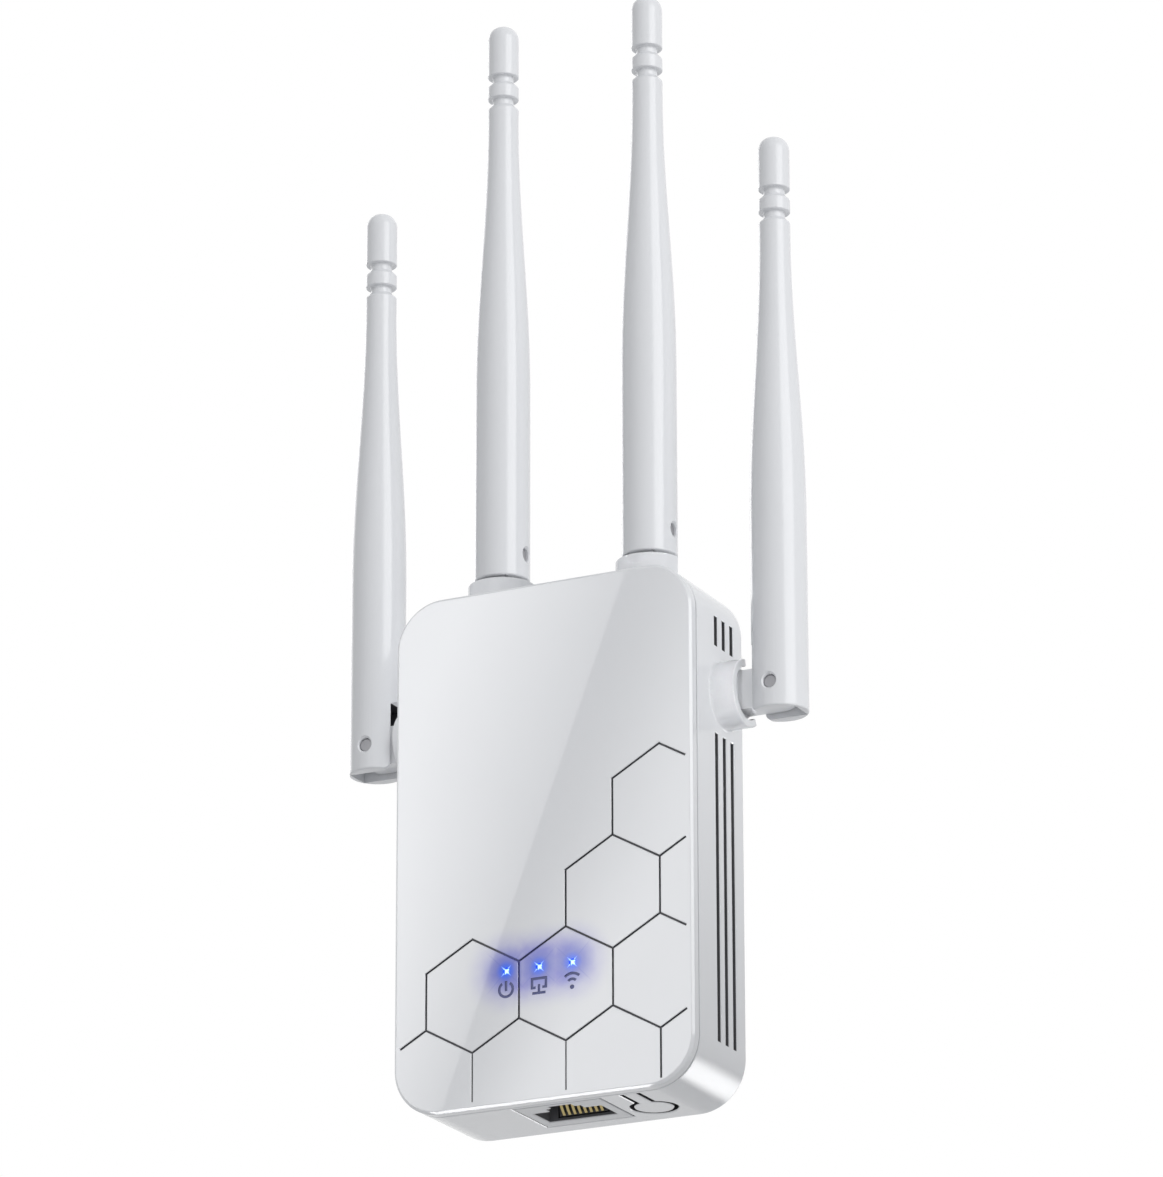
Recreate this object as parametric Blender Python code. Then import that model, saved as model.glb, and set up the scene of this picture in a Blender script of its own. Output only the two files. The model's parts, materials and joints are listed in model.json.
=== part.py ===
"""Plug-in wifi range extender with four folding antennas.

Metres, +Z up, +Y into the wall. The origin is on the back face, midway between the plug blades.
Each antenna stands on a hinge: a swivel turns in the case, and a pin in its tongue carries the antenna.
"""

from math import cos, hypot, pi, radians, sin

import bmesh
import bpy
from mathutils import Matrix, Vector

MM = 0.001

# Clearance between pieces that meet, and how far a joined shape reaches into its neighbour
GAP = 0.3 * MM
BITE = 0.6 * MM

# Case: outer size, walls and edges
CASE_WIDTH = 56.0 * MM
CASE_HEIGHT = 91.1 * MM
CASE_CORNER = 8.5 * MM
WALL = 1.6 * MM
FRONT_EDGE = 0.9 * MM
BACK_EDGE = 0.7 * MM
COVER_RIM = 2.0 * MM
COVER_FACE = 1.5 * MM
RIM_STRIP = 0.7 * MM
PLUG_ABOVE_CENTRE = 4.2 * MM

# Cover: spring tabs, engraved honeycomb and light holes
TAB_THICK = 1.2 * MM
TAB_WIDE = 10.0 * MM
TAB_REACH = 3.0 * MM
TAB_LOW = 30.0 * MM
TAB_HIGH = 8.0 * MM
GROOVE_WIDE = 0.45 * MM
GROOVE_DEEP = 0.3 * MM
GROOVE_MARGIN = 0.5 * MM
HEX_HALF = 8.75 * MM
HEX_SIDE = 9.85 * MM
HEX_ABOVE_BOTTOM = 19.65 * MM
LIGHT_PITCH = 6.17 * MM
LIGHT_ACROSS = -0.58 * MM
LIGHT_ABOVE_JACK = 3.15 * MM
LIGHT_TIP = 0.55 * MM
LIGHT_POST = 1.1 * MM
LIGHT_BAR = 1.6 * MM

# Side vents: three slots in a row, in a short and a long set
VENT_WIDE = 1.15 * MM
VENT_PITCH = 3.05 * MM
VENT_FROM_BACK = 4.55 * MM
VENT_COUNT = 3
SHORT_VENT_TALL = 5.2 * MM
SHORT_VENT_ABOVE_HINGE = 8.3 * MM
LONG_VENT_BELOW_HINGE = 7.3 * MM
LONG_VENT_ABOVE_BOTTOM = 9.05 * MM

# Board and what carries it
BOARD_THICK = 1.2 * MM
STANDOFF = 1.3 * MM
BOARD_TOP = 7.0 * MM
BOARD_BOTTOM = 0.7 * MM
BOARD_CORNER = 5.0 * MM
BOARD_SIDE = 0.6 * MM
POST_RADIUS = 2.4 * MM
POST_INSET = 3.4 * MM
SCREW_UP = 29.0 * MM
POST_DOWN = 14.0 * MM
SCREW_RADIUS = 0.8 * MM
SCREW_HEAD = 1.9 * MM
SCREW_HEAD_TALL = 1.3 * MM

# Parts on the board
PART_SPACE = 1.6 * MM
LED_WIDE = 1.6 * MM
LED_LONG = 0.8 * MM
LED_TALL = 0.8 * MM
BULK_RADIUS = 4.0 * MM
BULK_TALL = 11.5 * MM
OUTPUT_RADIUS = 3.15 * MM
OUTPUT_TALL = 11.0 * MM
CORE_WIDE = 14.0 * MM
CORE_LONG = 12.5 * MM
CORE_TALL = 11.0 * MM
COIL_WIDE = 9.0 * MM
COIL_LONG = 15.5 * MM
COIL_TALL = 8.0 * MM
FUSE_RADIUS = 2.0 * MM
FUSE_LONG = 8.0 * MM
BRIDGE_WIDE = 4.8 * MM
BRIDGE_LONG = 4.0 * MM
BRIDGE_TALL = 2.5 * MM
SHIELD_ACROSS = -5.0 * MM
SHIELD_WIDE = 18.0 * MM
SHIELD_LONG = 14.0 * MM
SHIELD_TALL = 2.6 * MM
MEMORY_WIDE = 5.0 * MM
MEMORY_LONG = 6.0 * MM
MEMORY_TALL = 1.6 * MM
MAGNETICS_WIDE = 7.0 * MM
MAGNETICS_LONG = 12.8 * MM
MAGNETICS_TALL = 5.5 * MM

# Ethernet jack: face, stepped mouth and contacts
JACK_WIDE = 15.9 * MM
JACK_TALL = 12.8 * MM
JACK_DEEP = 20.0 * MM
JACK_ACROSS = 0.95 * MM
MOUTH_WIDE = 12.6 * MM
MOUTH_TALL = 6.3 * MM
MOUTH_DEEP = 14.0 * MM
LATCH_WIDE = 6.4 * MM
LATCH_TALL = 1.6 * MM
KEY_WIDE = 4.3 * MM
KEY_TALL = 1.4 * MM
KEY_ABOVE = 1.0 * MM
CONTACT_COUNT = 8
CONTACT_PITCH = 1.02 * MM
CONTACT_WIDE = 0.45 * MM
CONTACT_THICK = 0.4 * MM
CONTACT_START = 0.9 * MM
CONTACT_REACH = 1.9 * MM
CONTACT_LEAN = 2.4 * MM
INSERT_THICK = 1.3 * MM
INSERT_LONG = 11.0 * MM

# Reset button, its arm and the switch above it
BUTTON_BESIDE_JACK = 2.2 * MM
BUTTON_RADIUS = 3.5 * MM
BUTTON_THICK = 1.3 * MM
BUTTON_SLIT = 0.6 * MM
ARM_WIDE = 2.5 * MM
STEM_RADIUS = 1.1 * MM
SWITCH_WIDE = 6.0 * MM
SWITCH_DEEP = 7.2 * MM
SWITCH_TALL = 4.0 * MM
SWITCH_ABOVE = 3.2 * MM
PLUNGER_RADIUS = 1.5 * MM
PLUNGER_OUT = 0.9 * MM
PLUNGER_IN = 1.4 * MM
BUTTON_TRAVEL = 0.5 * MM

# Plug blades
BLADE_APART = 12.7 * MM
BLADE_THICK = 1.5 * MM
BLADE_WIDE = 6.35 * MM
BLADE_LONG = 17.0 * MM
BLADE_TIP = 1.6 * MM
BLADE_EYE = 1.5 * MM
BLADE_EYE_FROM_TIP = 5.0 * MM
FOOT_WIDE = 4.6 * MM
FOOT_TALL = 9.0 * MM

# Antenna, from its foot: thick stem, long taper, slim end with two grooves and a rounded tip
ANTENNA_LONG = 105.0 * MM
ANTENNA_RADIUS = 4.85 * MM
SLIM_RADIUS = 2.73 * MM
TAPER_START = 35.0 * MM
TAPER_END = 87.0 * MM
TIP_RADIUS = 2.75 * MM
TIP_FLAT = 0.5 * MM
TIP_ROUND = 2.5 * MM
GROOVE_FROM_TIP = (10.3 * MM, 14.6 * MM)
RING_GROOVE_TALL = 1.1 * MM
RING_GROOVE_DEEP = 0.9 * MM
FOOT_CHAMFER = 0.35 * MM
BORE_RADIUS = 1.5 * MM
BORE_SHORT = 16.0 * MM
ELEMENT_WIRE = 0.6 * MM
SLEEVE_START = 34.0 * MM
SLEEVE_LONG = 32.0 * MM

# Hinges: where they stand, the guard round each one, the fork and the tongue
HINGE_FROM_BACK = 7.7 * MM
TOP_HINGE_ACROSS = 14.2 * MM
SIDE_HINGE_BELOW_TOP = 21.05 * MM
TOP_GUARD = 5.4 * MM
SIDE_GUARD = 4.5 * MM
GUARD_WALL = 1.3 * MM
GUARD_SHORT_END = radians(-10)
GUARD_LONG_END = radians(-215)
FOLD_CLEARANCE = 0.25 * MM
FOOT_CLEARANCE = 0.6 * MM
SWIVEL_RADIUS = 4.3 * MM
NECK_RADIUS = 2.7 * MM
NECK_REACH = 2.0 * MM
CLIP_RADIUS = 4.2 * MM
CLIP_THICK = 0.6 * MM
CLIP_GROOVE = 0.7 * MM
CLIP_OPENING = radians(35)
LEAD_RADIUS = 0.5 * MM
LEAD_HOLE = 1.0 * MM
LEAD_RUN = 9.0 * MM
LEAD_DROP = 8.0 * MM
LEAD_BEND = 5.0 * MM
FORK_BACK = 1.0 * MM
FORK_SLOT = 5.0 * MM
TONGUE_PLAY = 0.4 * MM
SLOT_SPARE = 4.0 * MM
PIN_RADIUS = 0.9 * MM
PIN_SUNK = 0.7 * MM

# Facets
CORNER_STEPS = 6
EDGE_STEPS = 3
TURN_STEPS = 20
SMALL_STEPS = 12
TAPER_STEPS = 9

# Places that follow from the sizes above
CASE_DEPTH = COVER_RIM + RIM_STRIP + JACK_TALL + BOARD_THICK + STANDOFF + WALL + 3 * GAP
FRONT_Y = -CASE_DEPTH
RIM_Y = FRONT_Y + COVER_RIM + GAP
SIDE_X = CASE_WIDTH / 2
CENTRE_Z = -PLUG_ABOVE_CENTRE
TOP_Z = CENTRE_Z + CASE_HEIGHT / 2
BOTTOM_Z = CENTRE_Z - CASE_HEIGHT / 2
BOARD_BACK_Y = -WALL - STANDOFF
BOARD_Y = BOARD_BACK_Y - BOARD_THICK
JACK_BACK_Y = BOARD_Y - GAP
JACK_FRONT_Y = JACK_BACK_Y - JACK_TALL
BUTTON_X = JACK_ACROSS + JACK_WIDE / 2 + BUTTON_BESIDE_JACK + BUTTON_RADIUS
BUTTON_Y = BOARD_Y - GAP - SWITCH_DEEP / 2
ARM_ROOT_Y = RIM_Y + RIM_STRIP + GAP
SWITCH_Z = BOTTOM_Z + WALL + SWITCH_ABOVE
PRESS_Z = (BOTTOM_Z + SWITCH_Z + PLUNGER_IN) / 2
LIGHT_Z = BOTTOM_Z + JACK_DEEP + LIGHT_ABOVE_JACK
HINGE_Y = -HINGE_FROM_BACK
SIDE_HINGE_Z = TOP_Z - SIDE_HINGE_BELOW_TOP
PIN_OUT = TOP_GUARD + FOLD_CLEARANCE + ANTENNA_RADIUS
FOOT = PIN_OUT - TOP_GUARD - FOOT_CLEARANCE
SWIVEL_TOP = PIN_OUT - hypot(FOOT, ANTENNA_RADIUS) - GAP
TONGUE_RADIUS = ANTENNA_RADIUS - FORK_BACK - TONGUE_PLAY
GUARD_INNER = SWIVEL_RADIUS + GAP
GUARD_OUTER = GUARD_INNER + GUARD_WALL
NECK_END = -WALL - NECK_REACH
BOARD_HALF = SIDE_X + NECK_END - BOARD_SIDE
BOARD_TOP_Z = TOP_Z - BOARD_TOP
BOARD_BOTTOM_Z = BOTTOM_Z + WALL + BOARD_BOTTOM

TURN_Y_TO_Z = Matrix.Rotation(pi / 2, 4, "X")


def clear_scene():
    for old in list(bpy.data.objects):
        bpy.data.objects.remove(old, do_unlink=True)


def make_finish(name, colour, roughness, metallic=0.0):
    finish = bpy.data.materials.new(name)
    finish.use_nodes = True
    shader = finish.node_tree.nodes["Principled BSDF"]
    shader.inputs["Base Color"].default_value = (*colour, 1.0)
    shader.inputs["Roughness"].default_value = roughness
    shader.inputs["Metallic"].default_value = metallic
    return finish


def loft(loops):
    """A closed body through loops of equal length, with a flat cap on the first and on the last."""
    shape = bmesh.new()
    rings = [[shape.verts.new(point) for point in loop] for loop in loops]
    for ring, following in zip(rings, rings[1:]):
        for i in range(len(ring)):
            j = (i + 1) % len(ring)
            shape.faces.new((ring[i], ring[j], following[j], following[i]))
    shape.faces.new(rings[0])
    shape.faces.new(rings[-1])
    bmesh.ops.recalc_face_normals(shape, faces=shape.faces)
    return shape


def box(low, high):
    def level(z):
        corners = ((low[0], low[1]), (high[0], low[1]), (high[0], high[1]), (low[0], high[1]))
        return [(x, y, z) for x, y in corners]

    return loft([level(low[2]), level(high[2])])


def circle(radius, z, steps):
    return [(radius * cos(2 * pi * i / steps), radius * sin(2 * pi * i / steps), z) for i in range(steps)]


def turned(profile, steps=TURN_STEPS):
    """A body turned round Z from (radius, height) pairs."""
    return loft([circle(radius, z, steps) for radius, z in profile])


def prism(outline, low, high):
    """An outline of (x, z) points drawn out along Y."""
    return loft([[(x, y, z) for x, z in outline] for y in (low, high)])


def rounded_rectangle(width, height, radius, y, centre=(0.0, 0.0)):
    """An upright rounded rectangle at depth y, as points in X and Z."""
    points = []
    for quarter in range(4):
        side_x = 1 if quarter in (0, 3) else -1
        side_z = 1 if quarter in (0, 1) else -1
        for step in range(CORNER_STEPS + 1):
            angle = pi / 2 * (quarter + step / CORNER_STEPS)
            x = centre[0] + side_x * (width / 2 - radius) + radius * cos(angle)
            z = centre[1] + side_z * (height / 2 - radius) + radius * sin(angle)
            points.append((x, y, z))
    return points


def case_loop(inset, y):
    """The case outline drawn in by inset, at depth y."""
    radius = CASE_CORNER - inset
    return rounded_rectangle(CASE_WIDTH - 2 * inset, CASE_HEIGHT - 2 * inset, radius, y, (0.0, CENTRE_Z))


def ring_sector(inner, outer, low, high, start, end, steps):
    """Part of a ring round Z, from one angle to another."""
    loops = []
    for step in range(steps + 1):
        angle = start + (end - start) * step / steps
        across = Vector((cos(angle), sin(angle), 0))
        up = Vector((0, 0, 1))
        corners = ((inner, low), (outer, low), (outer, high), (inner, high))
        loops.append([across * radius + up * z for radius, z in corners])
    return loft(loops)


def moved(shape, matrix):
    bmesh.ops.transform(shape, matrix=matrix, verts=shape.verts)
    bmesh.ops.recalc_face_normals(shape, faces=shape.faces)
    return shape


def rod(radius, start, end, steps=SMALL_STEPS):
    """A round bar between two points."""
    start = Vector(start)
    along = Vector(end) - start
    turn = along.to_track_quat("Z", "Y").to_matrix().to_4x4()
    return moved(turned([(radius, 0), (radius, along.length)], steps), Matrix.Translation(start) @ turn)


def joined(shapes):
    """Several shapes that don't touch, as one."""
    whole = bmesh.new()
    for shape in shapes:
        piece = bpy.data.meshes.new("piece")
        shape.to_mesh(piece)
        shape.free()
        whole.from_mesh(piece)
        bpy.data.meshes.remove(piece)
    return whole


def solid(name, shape, finish=None):
    mesh = bpy.data.meshes.new(name)
    shape.to_mesh(mesh)
    shape.free()
    piece = bpy.data.objects.new(name, mesh)
    bpy.context.scene.collection.objects.link(piece)
    if finish:
        mesh.materials.append(finish)
    return piece


def combine(piece, shape, operation):
    """Adds a shape to a piece, or cuts it away."""
    other = solid("tool", shape)
    step = piece.modifiers.new(operation.title(), "BOOLEAN")
    step.operation = operation
    step.object = other
    evaluated = piece.evaluated_get(bpy.context.evaluated_depsgraph_get())
    mesh = bpy.data.meshes.new_from_object(evaluated)
    piece.modifiers.clear()
    old = piece.data
    piece.data = mesh
    bpy.data.meshes.remove(old)
    mesh.name = piece.name
    bpy.data.objects.remove(other, do_unlink=True)


def add(piece, shape):
    combine(piece, shape, "UNION")


def cut(piece, shape):
    combine(piece, shape, "DIFFERENCE")


def hang(piece, carrier):
    """Lets a piece ride on an empty, in whose own axes its mesh is drawn."""
    piece.parent = carrier
    piece.data.shade_smooth()
    piece.data.set_sharp_from_angle(angle=radians(35))


def make_empty(name, matrix, carrier=None):
    empty = bpy.data.objects.new(name, None)
    bpy.context.scene.collection.objects.link(empty)
    empty.parent = carrier
    empty.matrix_local = matrix
    return empty


def edge_loops(inset_from, inset_to, y_from, y_to):
    """Loops of a rounded case edge, a quarter turn from a flat face to the side wall."""
    loops = []
    for step in range(EDGE_STEPS + 1):
        angle = pi / 2 * step / EDGE_STEPS
        inset = inset_from + (inset_to - inset_from) * sin(angle)
        loops.append(case_loop(inset, y_to + (y_from - y_to) * cos(angle)))
    return loops


def hexagon(column, row):
    """Corners of one honeycomb cell, from its top, clockwise; columns count half cells from the middle."""
    x = column * HEX_HALF
    z = BOTTOM_Z + HEX_ABOVE_BOTTOM + row * 1.5 * HEX_SIDE
    half = HEX_SIDE / 2
    return [
        (x, z + 2 * half),
        (x + HEX_HALF, z + half),
        (x + HEX_HALF, z - half),
        (x, z - 2 * half),
        (x - HEX_HALF, z - half),
        (x - HEX_HALF, z + half),
    ]


def honeycomb_lines():
    """The engraved lines of the cover, as pairs of (x, z) points."""
    left_cell = hexagon(-1.5, 0)
    middle_cell = hexagon(0.5, 0)
    upper_cell = hexagon(1.5, 1)
    lines = []
    for cell in (left_cell, middle_cell, upper_cell):
        lines += list(zip(cell, cell[1:] + cell[:1]))
    top_cell = hexagon(2.5, 2)
    lines += [(top_cell[4], top_cell[5]), (top_cell[5], top_cell[0])]
    corner_cell = hexagon(2.5, 0)
    lines.append((corner_cell[4], corner_cell[3]))
    edge_x = SIDE_X - FRONT_EDGE - GROOVE_MARGIN
    edge_z = BOTTOM_Z + FRONT_EDGE + GROOVE_MARGIN
    slope = HEX_SIDE / 2 / HEX_HALF

    def to_edge(point, side, rise):
        x = side * edge_x
        return point, (x, point[1] + rise * slope * abs(x - point[0]))

    lines.append(to_edge(top_cell[0], 1, -1))
    lines.append(to_edge(upper_cell[1], 1, 1))
    lines.append(to_edge(upper_cell[2], 1, -1))
    lines.append(to_edge(corner_cell[3], 1, 1))
    lines.append(to_edge(left_cell[4], -1, -1))
    for cell in (left_cell, middle_cell, corner_cell):
        lines.append((cell[3], (cell[3][0], edge_z)))
    unique = {}
    for start, end in lines:
        key = tuple(sorted((round(x / MM, 2), round(z / MM, 2)) for x, z in (start, end)))
        unique[key] = (start, end)
    return list(unique.values())


def groove(start, end):
    """A cutter for one engraved line."""
    start = Vector((start[0], FRONT_Y, start[1]))
    along = Vector((end[0], FRONT_Y, end[1])) - start
    half = GROOVE_WIDE / 2
    bar = box((-half, -GROOVE_DEEP, -half), (half, GROOVE_DEEP, along.length + half))
    turn = Matrix.Rotation(0, 4, "Y")
    turn.col[0][:3] = along.cross(Vector((0, -1, 0))).normalized()
    turn.col[1][:3] = (0, 1, 0)
    turn.col[2][:3] = along.normalized()
    return moved(bar, Matrix.Translation(start) @ turn)


def light_places():
    return [LIGHT_ACROSS + i * LIGHT_PITCH for i in (-1, 0, 1)]


def make_front_cover(finish):
    loops = edge_loops(FRONT_EDGE, 0, FRONT_Y, FRONT_Y + FRONT_EDGE)
    loops.append(case_loop(0, FRONT_Y + COVER_RIM))
    loops.append(case_loop(WALL, FRONT_Y + COVER_RIM))
    loops.append(case_loop(WALL, FRONT_Y + COVER_FACE))
    cover = solid("front_cover", loft(loops), finish)
    outer = SIDE_X - WALL - GAP
    root = FRONT_Y + COVER_FACE - BITE
    tip = FRONT_Y + COVER_RIM + TAB_REACH
    for side in (-1, 1):
        inner, edge = sorted((side * (outer - TAB_THICK), side * outer))
        for z in (CENTRE_Z - TAB_LOW, CENTRE_Z + TAB_HIGH):
            add(cover, box((inner, root, z - TAB_WIDE / 2), (edge, tip, z + TAB_WIDE / 2)))
    top = TOP_Z - WALL - GAP
    add(cover, box((-TAB_WIDE / 2, root, top - TAB_THICK), (TAB_WIDE / 2, tip, top)))
    for start, end in honeycomb_lines():
        cut(cover, groove(start, end))
    hole = LIGHT_TIP + GAP
    back = FRONT_Y + COVER_RIM
    holes = [rod(hole, (x, FRONT_Y - GAP, LIGHT_Z), (x, back, LIGHT_Z)) for x in light_places()]
    cut(cover, joined(holes))
    return cover


def guard(height):
    """The collar that hides a hinge from the front, open towards the back."""
    ends = (GUARD_SHORT_END, GUARD_LONG_END)
    return ring_sector(GUARD_INNER, GUARD_OUTER, -BITE, height, *ends, SMALL_STEPS)


def guard_matrix(hinge):
    """The guard's own axes: Z out of the wall, X towards its short end, Y towards the back."""
    matrix = Matrix.Identity(4)
    matrix.col[0][:3] = hinge["guard_end"]
    matrix.col[1][:3] = (0, 1, 0)
    matrix.col[2][:3] = hinge["out"]
    matrix.translation = hinge["place"]
    return matrix


def post_places():
    """Board posts as (x, z, holds a screw)."""
    x = BOARD_HALF - POST_INSET
    low = BOTTOM_Z + SCREW_UP
    high = TOP_Z - POST_DOWN
    return [(-x, low, True), (x, low, True), (-x, high, False), (x, high, False)]


def vent_cutters(side):
    """Slots through one side wall."""
    inner, outer = sorted((side * (SIDE_X - 2 * WALL), side * (SIDE_X + WALL)))
    short_low = SIDE_HINGE_Z + SHORT_VENT_ABOVE_HINGE
    spans = [
        (short_low, short_low + SHORT_VENT_TALL),
        (BOTTOM_Z + LONG_VENT_ABOVE_BOTTOM, SIDE_HINGE_Z - LONG_VENT_BELOW_HINGE),
    ]
    slots = []
    for count in range(VENT_COUNT):
        y = -VENT_FROM_BACK - count * VENT_PITCH
        for low, high in spans:
            slots.append(box((inner, y - VENT_WIDE / 2, low), (outer, y + VENT_WIDE / 2, high)))
    return joined(slots)


def make_rear_housing(finish, hinges):
    loops = [case_loop(WALL, -WALL), case_loop(WALL, RIM_Y), case_loop(0, RIM_Y)]
    loops += reversed(edge_loops(BACK_EDGE, 0, 0, -BACK_EDGE))
    housing = solid("rear_housing", loft(loops), finish)
    for hinge in hinges:
        matrix = guard_matrix(hinge)
        add(housing, moved(guard(hinge["guard"]), matrix))
        hole = NECK_RADIUS + GAP
        cut(housing, moved(turned([(hole, -2 * WALL), (hole, WALL)]), matrix))
    for x, z, has_screw in post_places():
        height = STANDOFF - GAP
        add(housing, rod(POST_RADIUS, (x, -WALL + BITE, z), (x, -WALL - height, z)))
        if has_screw:
            hole = SCREW_RADIUS + GAP
            cut(housing, rod(hole, (x, -WALL + BITE, z), (x, -WALL - STANDOFF, z)))
    for side in (-1, 1):
        cut(housing, vent_cutters(side))
    cut(housing, joined([blade_slot(side) for side in (-1, 1)]))
    left = JACK_ACROSS - JACK_WIDE / 2 - GAP
    right = JACK_ACROSS + JACK_WIDE / 2 + GAP
    low = BOTTOM_Z - WALL
    high = BOTTOM_Z + 2 * WALL
    cut(housing, box((left, JACK_FRONT_Y - GAP, low), (right, JACK_BACK_Y + GAP, high)))
    hole = BUTTON_RADIUS + BUTTON_SLIT
    cut(housing, rod(hole, (BUTTON_X, BUTTON_Y, low), (BUTTON_X, BUTTON_Y, high), TURN_STEPS))
    half = ARM_WIDE / 2 + BUTTON_SLIT
    cut(housing, box((BUTTON_X - half, ARM_ROOT_Y - GAP, low), (BUTTON_X + half, BUTTON_Y, high)))
    return housing


def blade_slot(side):
    x = side * BLADE_APART / 2
    half_x = BLADE_THICK / 2 + GAP
    half_z = BLADE_WIDE / 2 + GAP
    return box((x - half_x, -2 * WALL, -half_z), (x + half_x, WALL, half_z))


def make_plug_blade(name, side, finish):
    """A flat blade with a cut-cornered tip and an eye, on a foot between the wall and the board."""
    x = side * BLADE_APART / 2
    half = BLADE_WIDE / 2
    foot_low = BOARD_BACK_Y + GAP
    foot_high = -WALL - GAP
    outline = [
        (foot_low, -half),
        (BLADE_LONG - BLADE_TIP, -half),
        (BLADE_LONG, -half + BLADE_TIP),
        (BLADE_LONG, half - BLADE_TIP),
        (BLADE_LONG - BLADE_TIP, half),
        (foot_low, half),
    ]
    levels = (x - BLADE_THICK / 2, x + BLADE_THICK / 2)
    blade = solid(name, loft([[(level, y, z) for y, z in outline] for level in levels]), finish)
    wide = FOOT_WIDE / 2
    tall = FOOT_TALL / 2
    add(blade, box((x - wide, foot_low, -tall), (x + wide, foot_high, tall)))
    eye_y = BLADE_LONG - BLADE_EYE_FROM_TIP
    cut(blade, rod(BLADE_EYE, (x - BLADE_THICK, eye_y, 0), (x + BLADE_THICK, eye_y, 0)))
    return blade


def make_main_board(finish):
    size = (2 * BOARD_HALF, BOARD_TOP_Z - BOARD_BOTTOM_Z)
    centre = (0.0, (BOARD_TOP_Z + BOARD_BOTTOM_Z) / 2)
    loops = [rounded_rectangle(*size, BOARD_CORNER, y, centre) for y in (BOARD_Y, BOARD_BACK_Y)]
    board = solid("main_board", loft(loops), finish)
    hole = SCREW_RADIUS + GAP
    for x, z, has_screw in post_places():
        if has_screw:
            cut(board, rod(hole, (x, BOARD_Y - BITE, z), (x, BOARD_BACK_Y + BITE, z)))
    return board


def make_board_screw(name, x, z, finish):
    """A pan-head screw through the board into its post."""
    head_low = BOARD_THICK + STANDOFF + GAP
    tip = GAP - BITE
    profile = [
        (SCREW_RADIUS, tip),
        (SCREW_RADIUS, head_low),
        (SCREW_HEAD, head_low),
        (SCREW_HEAD, head_low + SCREW_HEAD_TALL / 2),
        (SCREW_HEAD * 0.7, head_low + SCREW_HEAD_TALL),
    ]
    matrix = Matrix.Translation((x, -WALL, z)) @ TURN_Y_TO_Z
    return solid(name, moved(turned(profile, SMALL_STEPS), matrix), finish)


def make_ethernet_jack(finish):
    low = (JACK_ACROSS - JACK_WIDE / 2, JACK_FRONT_Y, BOTTOM_Z)
    high = (JACK_ACROSS + JACK_WIDE / 2, JACK_BACK_Y, BOTTOM_Z + JACK_DEEP)
    jack = solid("ethernet_jack", box(low, high), finish)
    end = BOTTOM_Z + MOUTH_DEEP
    below = BOTTOM_Z - WALL
    key_y = JACK_FRONT_Y + KEY_ABOVE
    latch_y = key_y + KEY_TALL
    mouth_y = latch_y + LATCH_TALL
    steps = ((KEY_WIDE, key_y), (LATCH_WIDE, latch_y), (MOUTH_WIDE, mouth_y))
    back = mouth_y + MOUTH_TALL
    outline = [(JACK_ACROSS - MOUTH_WIDE / 2, back)]
    left = [(JACK_ACROSS - wide / 2, y) for wide, y in steps]
    right = [(JACK_ACROSS + wide / 2, y) for wide, y in steps]
    stairs_left = [left[2], (left[1][0], left[2][1]), left[1], (left[0][0], left[1][1]), left[0]]
    stairs_right = [right[0], (right[0][0], right[1][1]), right[1], (right[1][0], right[2][1]), right[2]]
    outline += stairs_left + stairs_right + [(JACK_ACROSS + MOUTH_WIDE / 2, back)]
    cut(jack, loft([[(x, y, z) for x, y in outline] for z in (below, end)]))
    half = insert_half_width() + GAP
    start = BOTTOM_Z + CONTACT_START
    cut(
        jack,
        box(
            (JACK_ACROSS - half, back - BITE, start - GAP),
            (JACK_ACROSS + half, back + INSERT_THICK + GAP, start + INSERT_LONG + GAP),
        ),
    )
    return jack


def insert_half_width():
    return CONTACT_COUNT * CONTACT_PITCH / 2 + CONTACT_WIDE


def make_jack_contacts(finish):
    """A flat carrier let into the jack's back wall, with springs that lean into the mouth and then rise."""
    back = JACK_FRONT_Y + KEY_ABOVE + KEY_TALL + LATCH_TALL + MOUTH_TALL
    start = BOTTOM_Z + CONTACT_START
    end = start + INSERT_LONG
    half = insert_half_width()
    carrier = box((JACK_ACROSS - half, back, start), (JACK_ACROSS + half, back + INSERT_THICK, end))
    contacts = solid("jack_contacts", carrier, finish)
    springs = []
    for i in range(CONTACT_COUNT):
        x = JACK_ACROSS + (i - (CONTACT_COUNT - 1) / 2) * CONTACT_PITCH
        front = back - CONTACT_REACH
        bend = start + CONTACT_LEAN
        outline = [
            (back + BITE, start),
            (back, start),
            (front, bend),
            (front, end),
            (front + CONTACT_THICK, end),
            (front + CONTACT_THICK, bend + CONTACT_THICK / 2),
            (back, start + 3 * CONTACT_THICK / 2),
            (back + BITE, start + 3 * CONTACT_THICK / 2),
        ]
        levels = (x - CONTACT_WIDE / 2, x + CONTACT_WIDE / 2)
        springs.append(loft([[(level, y, z) for y, z in outline] for level in levels]))
    add(contacts, joined(springs))
    return contacts


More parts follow.
